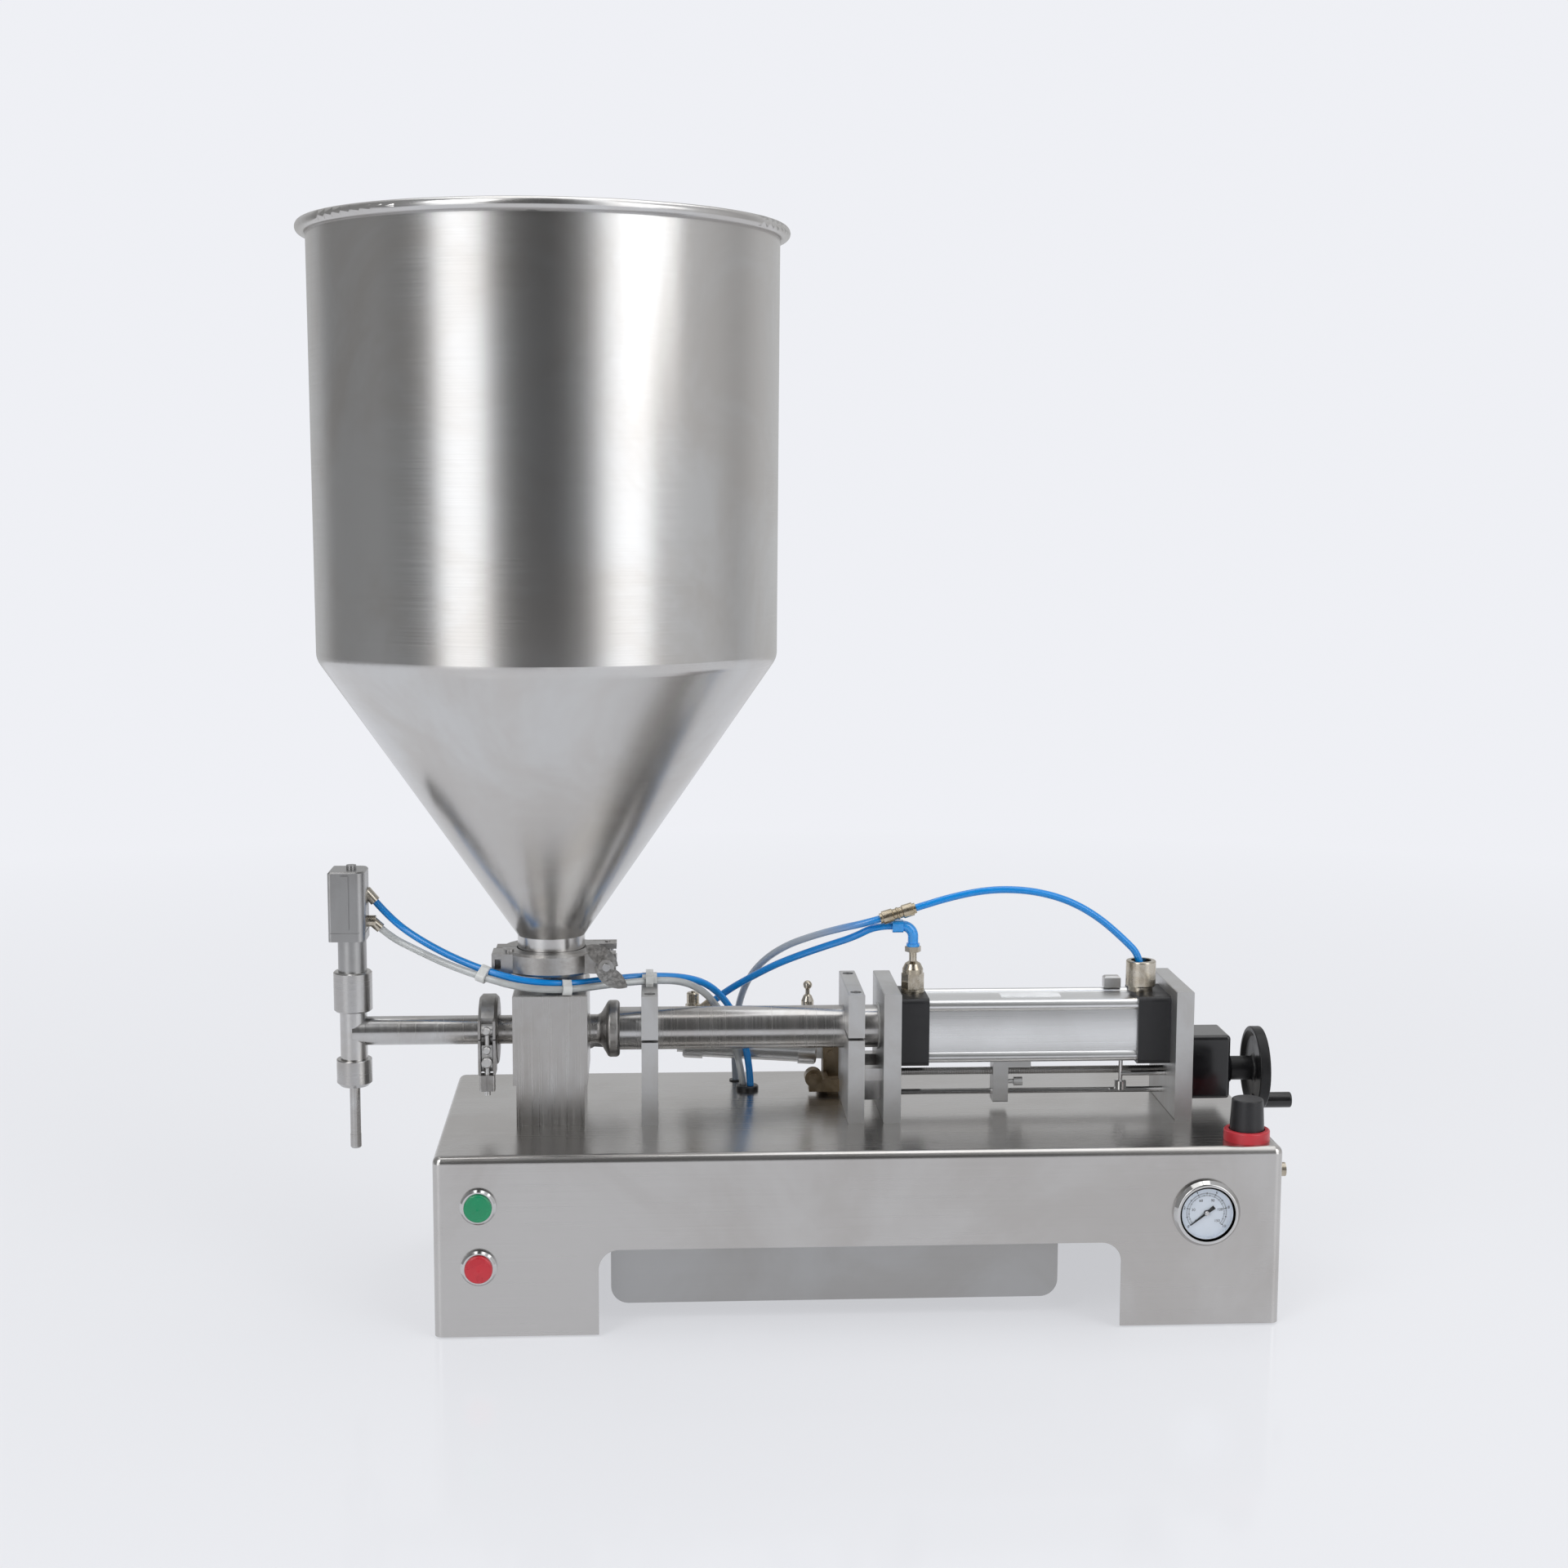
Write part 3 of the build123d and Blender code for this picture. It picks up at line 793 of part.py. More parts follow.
with BuildPart() as air_ports:
    # front cap: washer, hexagon body drawn in to a neck, small hexagon on top
    turn(up(X_PORT_F, 0, port_z), (0, -10), (4.6 - SNUG, -10), (4.6 - SNUG, 0), (9.6, 0), (9.6, 3.4), (0, 3.4))
    with BuildSketch(Plane.XY.offset(port_z + 3.4)):
        with Locations((X_PORT_F, 0)):
            RegularPolygon(9.4, 6)
    extrude(amount=13)
    turn(up(X_PORT_F, 0, port_z), (0, 16.4), (8.6, 16.4), (8.6, 20), (6.4, 24.5), (3.2, 26.5), (3.2, 34.4), (0, 34.4))
    with BuildSketch(Plane.XY.offset(port_z + 34.4)):
        with Locations((X_PORT_F, 0)):
            RegularPolygon(6.7, 6)
    extrude(amount=4.4)
    # rear cap: washer and a wide cup that the arched hose drops into
    turn(up(X_PORT_R, 0, port_z), (0, -10), (4.6 - SNUG, -10), (4.6 - SNUG, 0), (10, 0), (10, 4), (0, 4))
    turn(up(X_PORT_R, 0, port_z), (0, 4), (12.4, 4), (12.4, 25.6), (8.4, 25.6), (8.4, 12), (0, 12),
         rounds=(((12.4, 25.6), 1.2), ((12.4, 4), 1.2)))
    # nozzle actuator: lower port with a turned-down end, upper port beside the blue hose
    rod(right(HEAD_FACE, 0, HEAD_Z + 14), 4.75, 0, 7)
    rod(leaning(HEAD_FACE + 4, HEAD_Z + 14, PORT_DIP), 4.2, 0, PORT_REACH)
    rod(leaning(HEAD_FACE - 2, HEAD_Z + 38, HIGH_DIP, y=HIGH_PORT_Y), 4.4, 0, HIGH_REACH)
    block((HEAD_FACE - 12, -10, HEAD_Z + 1), (HEAD_FACE, 16, HEAD_Z + HEAD_H), mode=Mode.SUBTRACT)
    # air inlet through the right end of the base
    turn(right(X_BASE + BASE_L / 2, INLET_Y, INLET_Z), (0, -10.5), (INLET_R, -10.5), (INLET_R, 0), (6.8, 0),
         (6.8, 2.2), (5.6, 2.6), (5.6, 6.5), (0, 6.5))
    with BuildSketch(Plane.YZ.offset(X_BASE + BASE_L / 2 - SHEET)):
        with Locations((INLET_Y, INLET_Z)):
            RegularPolygon(7.0, 6)
    extrude(amount=-4)
    rod(right(X_BASE + BASE_L / 2, INLET_Y, INLET_Z), HOSE_R + RUN, -8.5, 7, mode=Mode.SUBTRACT)
save(air_ports, "air_ports")

ELBOW_Z = port_z + 38.8
with BuildPart() as elbow_fitting:
    # blue elbow that bends to the left, and its clear collar
    with BuildLine() as bend:
        FilletPolyline((X_PORT_F, 0, ELBOW_Z), (X_PORT_F, 0, ELBOW_Z + 17), (X_PORT_F - 13, 0, ELBOW_Z + 17),
                       radius=9)
    with BuildSketch(Plane(origin=(X_PORT_F, 0, ELBOW_Z), z_dir=(0, 0, 1))):
        Circle(4.4)
    sweep(path=bend.line)
    rod(up(X_PORT_F, 0, ELBOW_Z), 5.6, 0, 2.4)
    with BuildSketch(Plane.YZ.offset(X_PORT_F - 17.5)):
        with Locations((0, ELBOW_Z + 17)):
            RectangleRounded(10.5, 10, 2.5)
    extrude(amount=9)
save(elbow_fitting, "elbow_fitting")

UNION_L, UNION_LEAN, UNION_Y = 30.5, 17.0, -6.0
X_UNION, UNION_Z = X_BASE + 39.2, 310.4
with BuildPart() as brass_union:
    union_axis = leaning(X_UNION, UNION_Z, UNION_LEAN, y=UNION_Y)
    half = UNION_L / 2
    turn(union_axis, (0, -half), (4.4, -half), (4.4, 2 - half), (5.6, 2.4 - half), (5.6, -4.5), (4.6, -3.6),
         (4.6, -1.2), (5.2, -0.6), (5.2, 0.6), (4.6, 1.2), (4.6, 3.6), (5.6, 4.5), (5.6, half - 2.4),
         (4.4, half - 2), (4.4, half), (0, half))
    rod(union_axis, HOSE_R + SNUG, -half - 1, 6 - half, mode=Mode.SUBTRACT)
    rod(union_axis, HOSE_R + SNUG, half - 6, half + 1, mode=Mode.SUBTRACT)
save(brass_union, "brass_union")

# Swing cylinder, its tail bracket and fittings

tail = Vector(X_VALVE + TAIL_SET, SWING_Y, TAIL_Z)
pin_rest = Vector(X_VALVE + LEVER_R * sin(radians(45)), SWING_Y, AXIS_Z - LEVER_R * cos(radians(45)))
swing_tilt = degrees(atan2(pin_rest.Z - tail.Z, tail.X - pin_rest.X))
swing_len = hypot(pin_rest.Z - tail.Z, tail.X - pin_rest.X)
EYE_W, CHEEK_T = 8.0, 5.5


def swing(offset_y=0.0):
    """Turning plane of the swing cylinder: from the tail pin towards the lever."""
    a = radians(swing_tilt)
    return Plane(origin=(tail.X, tail.Y + offset_y, tail.Z), x_dir=(sin(a), 0, cos(a)), z_dir=(0, -1, 0))


REAR_CAP, FRONT_CAP = (12.5, 28.0), (110.3, 127.5)
PORT_AT, BALL_AT = 119.0, 20.0        # along the cylinder, tail pin to its two fittings
a = radians(swing_tilt)
port_x, port_up = tail.X - PORT_AT * cos(a), tail.Z + PORT_AT * sin(a)
ball_x, ball_up = tail.X - BALL_AT * cos(a), tail.Z + BALL_AT * sin(a)
stub_dir = Vector(0.70, -0.30, 0.648).normalized()
STUB_UP, STUB_L = 22.5, 23.0
stub_from = Vector(port_x, SWING_Y, port_up + STUB_UP)
SWING_PISTON_L = 9.0
FORK_SLOT = 27.0        # behind the pin, where the lever's shank passes after a quarter turn
with BuildPart() as swing_cylinder:
    turn(swing(), (SWING_BARREL_R - 1.2, REAR_CAP[1] - 4), (SWING_BARREL_R, REAR_CAP[1] - 4),
         (SWING_BARREL_R, FRONT_CAP[0] + 4), (SWING_BARREL_R - 1.2, FRONT_CAP[0] + 4))
    turn(swing(), (0, REAR_CAP[0]), (SWING_CAP_R - 1.5, REAR_CAP[0]), (SWING_CAP_R, REAR_CAP[0] + 1.5),
         (SWING_CAP_R, REAR_CAP[1]), (SWING_BARREL_R - 1.4, REAR_CAP[1]), (0, REAR_CAP[1]))
    turn(swing(), (SWING_ROD_R + RUN, FRONT_CAP[0]), (SWING_CAP_R, FRONT_CAP[0]), (SWING_CAP_R, FRONT_CAP[1] - 1.5),
         (SWING_CAP_R - 1.5, FRONT_CAP[1]), (8.0, FRONT_CAP[1]), (8.0, FRONT_CAP[1] + 5),
         (SWING_ROD_R + RUN, FRONT_CAP[1] + 5))
    # tail eye
    with BuildSketch(Plane(origin=(tail.X, tail.Y + EYE_W / 2, tail.Z), x_dir=swing().y_dir, z_dir=(0, -1, 0))):
        Circle(6.5)
        with Locations((REAR_CAP[0] / 2 + 1, 0)):
            Rectangle(REAR_CAP[0] + 2, 13)
        Circle(PIN_R + RUN, mode=Mode.SUBTRACT)
    extrude(amount=EYE_W)
    # seats of the two air fittings
    rod(up(port_x, SWING_Y, port_up), 5, 10.5, 15, mode=Mode.SUBTRACT)
    rod(up(ball_x, SWING_Y, ball_up), 4.5, 10.5, 15, mode=Mode.SUBTRACT)
save(swing_cylinder, "swing_cylinder")

with BuildPart() as swing_rod:
    # piston, rod and the fork that straddles the lever
    turn(swing(), (0, REAR_CAP[1] + 2), (SWING_BARREL_R - 1.2 - RUN, REAR_CAP[1] + 2),
         (SWING_BARREL_R - 1.2 - RUN, REAR_CAP[1] + 2 + SWING_PISTON_L), (SWING_ROD_R, REAR_CAP[1] + 2 + SWING_PISTON_L),
         (SWING_ROD_R, swing_len - FORK_SLOT - 4), (0, swing_len - FORK_SLOT - 4))
    with BuildSketch(Plane(origin=(tail.X, tail.Y + 8, tail.Z), x_dir=swing().y_dir, z_dir=(0, -1, 0))):
        with Locations((swing_len, 0)):
            Circle(5.6)
        with Locations((swing_len - FORK_SLOT / 2 - 4, 0)):
            Rectangle(FORK_SLOT + 8, 11.2)
    extrude(amount=16)
    # slot for the lever
    with BuildSketch(Plane(origin=(tail.X, tail.Y + LEVER_T / 2 + GAP, tail.Z), x_dir=swing().y_dir, z_dir=(0, -1, 0))):
        with Locations((swing_len + 8 - FORK_SLOT / 2, 0)):
            Rectangle(FORK_SLOT + 16, 16)
    extrude(amount=LEVER_T + 2 * GAP, mode=Mode.SUBTRACT)
    # fork pin
    fork = Plane(origin=(pin_rest.X, SWING_Y, pin_rest.Z), x_dir=(1, 0, 0), z_dir=(0, 0, 1))
    rod(fork, PIN_R, -8, 8)
save(swing_rod, "swing_rod")

with BuildPart() as swing_fittings:
    # speed controller on the front cap: thread, hexagon, flange, slim valve stem
    turn(up(port_x, SWING_Y, port_up), (0, 11), (5, 11), (5, 22), (8.2, 22), (8.2, 27), (6.5, 27), (6.5, 34.4),
         (4.2, 34.4), (4.2, 35.4), (1.6, 35.4), (1.6, 46), (0, 46))
    # its swivelling hose port
    stub = Plane(origin=stub_from, z_dir=stub_dir)
    with BuildSketch(stub):
        Circle(5.0)
    extrude(amount=STUB_L)
    # ball-headed plug on the rear cap
    turn(up(ball_x, SWING_Y, ball_up), (0, 11), (4.5, 11), (4.5, 14), (5.4, 14), (5.4, 43), (3.6, 47.5), (1.9, 49),
         (1.9, 55), (0, 55))
    with Locations((ball_x, SWING_Y, ball_up + 56.8)):
        Sphere(3.9)
save(swing_fittings, "swing_fittings")

with BuildPart() as speed_knob:
    turn(up(port_x, SWING_Y, port_up), (1.6 + RUN, 35.4 + GAP), (5.4, 35.4 + GAP), (5.4, 44), (4.4, 45),
         (1.6 + RUN, 45))
save(speed_knob, "speed_knob")

with BuildPart() as tail_bracket:
    # foot, two cheeks and the pin through the cylinder's tail eye
    block((tail.X - 11, SWING_Y - 16, BASE_TOP), (tail.X + 11, SWING_Y + 16, BASE_TOP + 6))
    for side in (-1, 1):
        y = SWING_Y + side * (EYE_W / 2 + GAP)
        y2 = y + side * CHEEK_T
        block((tail.X - 7, min(y, y2), BASE_TOP + 5), (tail.X + 9.5, max(y, y2), TAIL_Z + 11))
    rod(back(tail.X, SWING_Y, TAIL_Z), PIN_R, -EYE_W / 2 - CHEEK_T - 3, EYE_W / 2 + CHEEK_T + 3)
    # stay to the split plate, with a screwed eye at its front
    block((tail.X - 21, 40, BASE_TOP + 3.5), (X_PLATE_A, 52, BASE_TOP + 14))
    block((tail.X - 13, 50, BASE_TOP + 3.5), (tail.X - 4, SWING_Y - 12, BASE_TOP + 14))
    rod(front(tail.X - 17, 40, BASE_TOP + 15), 7.5, -12, 0)
    rod(front(tail.X - 17, 40, BASE_TOP + 15), 5, 0, 4)
save(tail_bracket, "tail_bracket")

# Manifold under the base top

GROMMET = (X_BASE - GROMMET_SET, GROMMET_Y)
HOLE_DX, HOLE_DY = 2.9, 1.9           # the two hoses in the grommet, either side of its centre
FAR_HOLE = (X_BASE - FAR_HOLE_SET, FAR_HOLE_Y)
with BuildPart() as air_manifold:
    # ported block under the base top, carried by two pillars
    low_z = BASE_TOP - 62
    block((GROMMET[0] - 26, 50, low_z), (GROMMET[0] + 20, 110, low_z + 22))
    for x, y in ((GROMMET[0] + 14, 56), (GROMMET[0] - 20, 56), (GROMMET[0] + 14, 104)):
        rod(up(x, y, 0), 4, low_z + 20, UNDER_TOP)
    for x, y in ((GROMMET[0] + HOLE_DX, GROMMET[1] - HOLE_DY), (GROMMET[0] - HOLE_DX, GROMMET[1] + HOLE_DY), FAR_HOLE):
        rod(up(x, y, 0), HOSE_R + SNUG, low_z + 14, low_z + 30, mode=Mode.SUBTRACT)
save(air_manifold, "air_manifold")

# Hoses, ties and the switch


def route(name, *points):
    """Straight runs and tangent arcs through the points; each bend's radius is printed."""
    spots = [Vector(*p) for p in points]
    bends = []
    for before, corner, after in zip(spots, spots[1:], spots[2:]):
        one, two = corner - before, after - corner
        half_turn = radians(one.get_angle(two)) / 2
        bends.append(0.45 * min(one.length, two.length) / tan(half_turn))
    print(name, "bends", [round(r, 1) for r in bends],
          "runs", [round((b - a).length, 1) for a, b in zip(spots, spots[1:])])
    return bends


def hose(name, *points):
    """One round hose along its route, written as its own node."""
    bends = route(name, *points)
    with BuildPart() as piece:
        with BuildLine() as path:
            FilletPolyline(*points, radius=bends)
        run = path.wires()[0]
        with BuildSketch(Plane(origin=points[0], z_dir=run % 0)):
            Circle(HOSE_R)
        sweep(path=run)
    print(name, "volume", round(piece.part.volume), "of", round(pi * HOSE_R ** 2 * run.length))
    save(piece, name)
    return piece.part


def spot(x, y, z):
    """A point given from the middle of the base."""
    return (X_BASE + x, y, z)


low_end = low_z + 22
one, two = (GROMMET[0] + HOLE_DX, GROMMET[1] - HOLE_DY), (GROMMET[0] - HOLE_DX, GROMMET[1] + HOLE_DY)
high_out = leaning(HEAD_FACE - 2, HEAD_Z + 38, HIGH_DIP, y=HIGH_PORT_Y)
high_tip = high_out.origin + high_out.y_dir * HIGH_REACH
low_out = leaning(HEAD_FACE + 4, HEAD_Z + 14, PORT_DIP)
low_tip = low_out.origin + low_out.y_dir * PORT_REACH

hose_actuator = hose("hose_actuator", tuple(high_tip), tuple(high_tip + high_out.y_dir * 15), spot(-361.1, 3, 295.2),
                     spot(-330, -15, 281.0), spot(-298.2, -31.5, 270.9), spot(-266.5, -38.5, 263.0),
                     spot(-231.5, -37, 259.7), spot(-198.2, -12.3, 258.6), spot(-167.1, 2, 258.2),
                     spot(-134.5, 20, 253.2), spot(-113.6, 40, 241.9), spot(-97.2, 54, 221.5), spot(-86, 59.5, 196),
                     spot(-80.5, 62.0, 171), (*one, BASE_TOP + 2), (one[0] + 0.3, one[1] + 0.2, 124), (*one, low_end))
hose_clear = hose("hose_clear", tuple(low_tip), tuple(low_tip + low_out.y_dir * 12), spot(-356, -7, 284.0),
                  spot(-329, -22.5, 274.4), spot(-298, -36, 265.9), spot(-266.5, -43.4, 258.4),
                  spot(-231, -43.0, 256.4), spot(-198, -20.5, 256.0), spot(-167, -7.0, 256.2),
                  spot(-138, 9.5, 252.4), spot(-119, 31.5, 238.5), spot(-104, 51.0, 216), spot(-94.5, 62, 193),
                  spot(-88.5, 66.2, 170), (*two, BASE_TOP + 2), (two[0] + 0.3, two[1] + 0.2, 124), (*two, low_end))
stub_tip = stub_from + stub_dir * STUB_L
hose_elbow = hose("hose_elbow", (X_PORT_F - 17.5, 0, ELBOW_Z + 17), (X_PORT_F - 31.5, 0, ELBOW_Z + 17),
                  spot(4.2, 5, 288.8), spot(-16, 15, 280.2), spot(-37, 27, 270.4), spot(-57, 39, 260.0),
                  spot(-74.5, 51, 248.5), tuple(stub_tip + stub_dir * 17), tuple(stub_tip))
union_left = union_axis.origin - union_axis.y_dir * (half - 6)
union_right = union_axis.origin + union_axis.y_dir * (half - 6)
hose_union = hose("hose_union", tuple(union_left), tuple(union_left - union_axis.y_dir * 17), spot(-7, 4, 296.5),
                  spot(-29, 20, 287.2), spot(-50, 38, 275.8), spot(-68, 58, 259.5), spot(-80, 75.5, 240.4),
                  spot(-87.5, 88.5, 217.5), spot(-90.6, 95.0, 193), spot(-91.4, 96.6, 168),
                  (*FAR_HOLE, BASE_TOP + 2), (FAR_HOLE[0] + 0.3, FAR_HOLE[1] + 0.2, 126), (*FAR_HOLE, low_end))
hose_arc = hose("hose_arc", tuple(union_right), tuple(union_right + union_axis.y_dir * 15), spot(80, -4.5, 322.5),
                spot(104, -3, 327.6), spot(128.3, -2, 329.5), spot(155.6, -1, 327.0), spot(182.9, 0, 318.9),
                spot(207.1, 1, 305.0), spot(228, 1, 287.0), (X_PORT_R, 0, 271), (X_PORT_R, 0, port_z + 12))

# Seals, grommets, hose ties

with BuildPart() as seals:
    tube(up(X_VALVE, 0, JOINT_Z), neck_bore, BIG_FLANGE_R - 1, -GASKET / 2, GASKET / 2)
    tube(right(X_OUT, 0, AXIS_Z), PORT_R, SMALL_FLANGE_R - 1, -GASKET / 2, GASKET / 2)
    tube(right(X_PLATE_B, 0, AXIS_Z), TUBE_R + SNUG, TUBE_R + 1.4, -1.4, 0)
    # grommet in the base top for the two hoses from the nozzle
    turn(up(*GROMMET, 0), (0, UNDER_TOP - 2.5), (9.0, UNDER_TOP - 2.5), (9.0, UNDER_TOP), (GROMMET_R - SNUG, UNDER_TOP),
         (GROMMET_R - SNUG, BASE_TOP), (9.6, BASE_TOP), (9.6, BASE_TOP + 4), (0, BASE_TOP + 4),
         rounds=(((9.6, BASE_TOP + 4), 1.5),))
    add(hose_actuator, mode=Mode.SUBTRACT)
    add(hose_clear, mode=Mode.SUBTRACT)
    # small grommet for the hose from the brass union
    turn(up(*FAR_HOLE, 0), (0, UNDER_TOP - 1), (HOSE_R + 2.6, UNDER_TOP - 1), (HOSE_R + 2.6, UNDER_TOP),
         (HOSE_R + 1.6 - SNUG, UNDER_TOP), (HOSE_R + 1.6 - SNUG, BASE_TOP), (HOSE_R + 2.6, BASE_TOP),
         (HOSE_R + 2.6, BASE_TOP + 1), (0, BASE_TOP + 1))
    add(hose_union, mode=Mode.SUBTRACT)
save(seals, "seals")

TIE_W, TIE_T = 7.2, 1.2
with BuildPart() as hose_ties:
    # two ties around the pair of nozzle hoses, in front of and behind the hopper neck
    for upper, lower, way in (((-298.2, -31.5, 270.9), (-298.0, -36.0, 265.9), (1, -0.42, -0.32)),
                              ((-231.5, -37.0, 259.7), (-231.0, -42.6, 256.4), (1, 0.18, -0.08))):
        above, below = Vector(*spot(*upper)), Vector(*spot(*lower))
        plane = Plane(origin=(above + below) * 0.5, x_dir=above - below, z_dir=way)
        with BuildSketch(plane):
            SlotCenterToCenter((above - below).length, 2 * (HOSE_R + TIE_T))
        extrude(amount=TIE_W / 2, both=True)
    add(hose_actuator, mode=Mode.SUBTRACT)
    add(hose_clear, mode=Mode.SUBTRACT)
save(hose_ties, "hose_ties")

SENSOR_X, SENSOR_L = X_BASE + 216.7, 14.0
with BuildPart() as sensor:
    # position switch in the channel beside the barrel's rear upper bead
    block((SENSOR_X, BEAD_OFF - 4, AXIS_Z + BEAD_OFF + PROFILE_BEAD_R + 0.2),
          (SENSOR_X + SENSOR_L, BEAD_OFF + 5, AXIS_Z + BEAD_OFF + PROFILE_BEAD_R + 10))
    chamfer(sensor.edges().group_by(Axis.Z)[-1], 1.5)
save(sensor, "sensor")
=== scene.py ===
# %% [markdown]
# # Piston paste filling machine
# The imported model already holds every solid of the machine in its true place. This lesson dresses it: it
# loads that frame, gives each solid the finish of the real metal, plastic or rubber, draws the air hoses as
# smooth curves, and adds the small things that a solid model leaves out, such as threads and dial marks.

# %% Load the frame
from math import cos, pi, radians, sin

import bmesh
import bpy
from mathutils import Matrix, Vector


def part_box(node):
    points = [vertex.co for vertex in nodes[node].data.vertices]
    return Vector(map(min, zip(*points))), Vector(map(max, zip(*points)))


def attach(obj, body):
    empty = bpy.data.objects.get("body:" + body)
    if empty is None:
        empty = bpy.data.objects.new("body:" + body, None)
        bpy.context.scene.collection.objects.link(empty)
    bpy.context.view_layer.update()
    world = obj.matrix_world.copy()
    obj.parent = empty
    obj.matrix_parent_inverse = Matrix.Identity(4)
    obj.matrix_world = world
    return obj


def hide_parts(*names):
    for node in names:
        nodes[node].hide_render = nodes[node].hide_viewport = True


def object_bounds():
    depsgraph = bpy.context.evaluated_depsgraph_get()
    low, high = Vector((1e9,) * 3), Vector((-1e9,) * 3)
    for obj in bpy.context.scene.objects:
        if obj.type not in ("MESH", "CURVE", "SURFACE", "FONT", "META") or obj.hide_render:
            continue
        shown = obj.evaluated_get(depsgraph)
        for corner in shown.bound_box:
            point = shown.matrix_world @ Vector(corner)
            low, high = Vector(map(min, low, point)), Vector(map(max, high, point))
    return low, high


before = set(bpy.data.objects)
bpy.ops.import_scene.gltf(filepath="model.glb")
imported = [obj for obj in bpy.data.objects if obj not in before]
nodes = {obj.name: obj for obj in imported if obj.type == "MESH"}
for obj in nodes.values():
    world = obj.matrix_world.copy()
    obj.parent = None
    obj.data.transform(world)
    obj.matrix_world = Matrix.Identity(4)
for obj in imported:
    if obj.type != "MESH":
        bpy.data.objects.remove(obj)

cad_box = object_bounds()
print("box of the solids", [[round(c, 4) for c in corner] for corner in cad_box])

# %% [markdown]
# ## The camera
# The photograph is square, taken from a little above the rim of the base with a long lens, so upright edges
# stay upright. A camera could be aimed by eye, but then nothing would line up: its place, its turn and its
# focal length come from matching visible edges of the machine instead.

# %% Set the camera
LENS, SENSOR = 52.5, 36.0                          # millimetres
EYE = (-0.131, -1.85, 0.6505)
YAW, PITCH, ROLL = 0.05877, 0.12521, 0.00382       # radians
ahead = Vector((sin(YAW) * cos(PITCH), cos(YAW) * cos(PITCH), -sin(PITCH)))
side = Vector((cos(YAW), -sin(YAW), 0))
top = side.cross(ahead)
across, upward = side * cos(ROLL) + top * sin(ROLL), top * cos(ROLL) - side * sin(ROLL)
camera = bpy.data.objects.new("camera", bpy.data.cameras.new("camera"))
camera.data.lens, camera.data.sensor_width = LENS, SENSOR
camera.data.clip_start, camera.data.clip_end = 0.05, 60
turn = Matrix((across, upward, -ahead)).transposed()
camera.matrix_world = Matrix.Translation(EYE) @ turn.to_4x4()
bpy.context.scene.collection.objects.link(camera)
bpy.context.scene.camera = camera
bpy.context.scene.view_settings.view_transform = "Standard"
print("camera at", [round(c, 3) for c in camera.location])

# %% [markdown]
# ## Small tools for node trees
# Every finish below is a node tree. Written out in full, each would take a page, so a few short helpers keep
# the cells readable: they add a node and set its inputs, join two sockets, spread a value over a range, name
# a group's sockets, and start a material with its shader and Object coordinates.

# %% Add and join nodes
def node(tree, kind, **values):
    """Add a node; keywords that name an input set its value, the others set a property."""
    made = tree.nodes.new(kind)
    for name, value in values.items():
        label = name.replace("_", " ")
        if label in made.inputs:
            made.inputs[label].default_value = value
        else:
            setattr(made, name, value)
    return made


def join(tree, source, target):
    tree.links.new(source, target)


def spread(tree, source, low, high, start=0.0, end=1.0, kind="LINEAR"):
    """Map a value that runs from start to end onto low to high; returns the new socket."""
    made = node(tree, "ShaderNodeMapRange", From_Min=start, From_Max=end, To_Min=low, To_Max=high,
                interpolation_type=kind)
    join(tree, source, made.inputs["Value"])
    return made.outputs["Result"]


# %% Name sockets and start a material
def add_inputs(tree, rows):
    """Give a tree its named inputs, each with its kind and starting value."""
    for label, kind, value in rows:
        socket = tree.interface.new_socket(label, in_out="INPUT", socket_type="NodeSocket" + kind)
        if value is not None:
            socket.default_value = value


def add_outputs(tree, rows):
    for label, kind in rows:
        tree.interface.new_socket(label, in_out="OUTPUT", socket_type="NodeSocket" + kind)


def start_material(name, **shader_values):
    """A material with a Principled shader; returns material, tree, shader and Object coordinates."""
    material = bpy.data.materials.new(name)
    material.use_nodes = True
    tree = material.node_tree
    shader = tree.nodes["Principled BSDF"]
    for key, value in shader_values.items():
        shader.inputs[key.replace("_", " ")].default_value = value
    place = node(tree, "ShaderNodeTexCoord")
    return material, tree, shader, place.outputs["Object"]


print("helpers ready")

# %% [markdown]
# ## Shared effect: brush lines
# Stainless sheet and turned parts carry fine lines that run one way. A picture of brushed steel would repeat
# and stretch; noise that is squeezed across the lines and long along them never does. Many materials use it,
# so it is one node group, and each material sets its own grain and its range of roughness.

# %% Build the brush line group
def build_brush_group():
    group = bpy.data.node_groups.new("Brush Lines", "ShaderNodeTree")
    add_inputs(group, (("Vector", "Vector", None), ("Low Roughness", "Float", 0.25),
                       ("High Roughness", "Float", 0.4), ("Detail", "Float", 4.0)))
    add_outputs(group, (("Roughness", "Float"), ("Height", "Float")))
    entry, leave = node(group, "NodeGroupInput"), node(group, "NodeGroupOutput")
    noise = node(group, "ShaderNodeTexNoise", Scale=1.0)
    lines = node(group, "ShaderNodeMapRange", From_Min=0.3, From_Max=0.7)
    join(group, entry.outputs["Vector"], noise.inputs["Vector"])
    join(group, entry.outputs["Detail"], noise.inputs["Detail"])
    join(group, noise.outputs["Fac"], lines.inputs["Value"])
    join(group, entry.outputs["Low Roughness"], lines.inputs["To Min"])
    join(group, entry.outputs["High Roughness"], lines.inputs["To Max"])
    join(group, lines.outputs["Result"], leave.inputs["Roughness"])
    join(group, noise.outputs["Fac"], leave.inputs["Height"])
    return group


brush_lines = build_brush_group()
print("group", brush_lines.name)

# %% [markdown]
# ## Shared effect: mottling
# Handled steel is never one colour. Polishing, heat and fingerprints shift it between a cool and a warm tint.
# Painted patches would need a map for each piece; slow, cloudy noise between two tints gives the same drift
# on every piece, and its mask can shift the gloss as well.

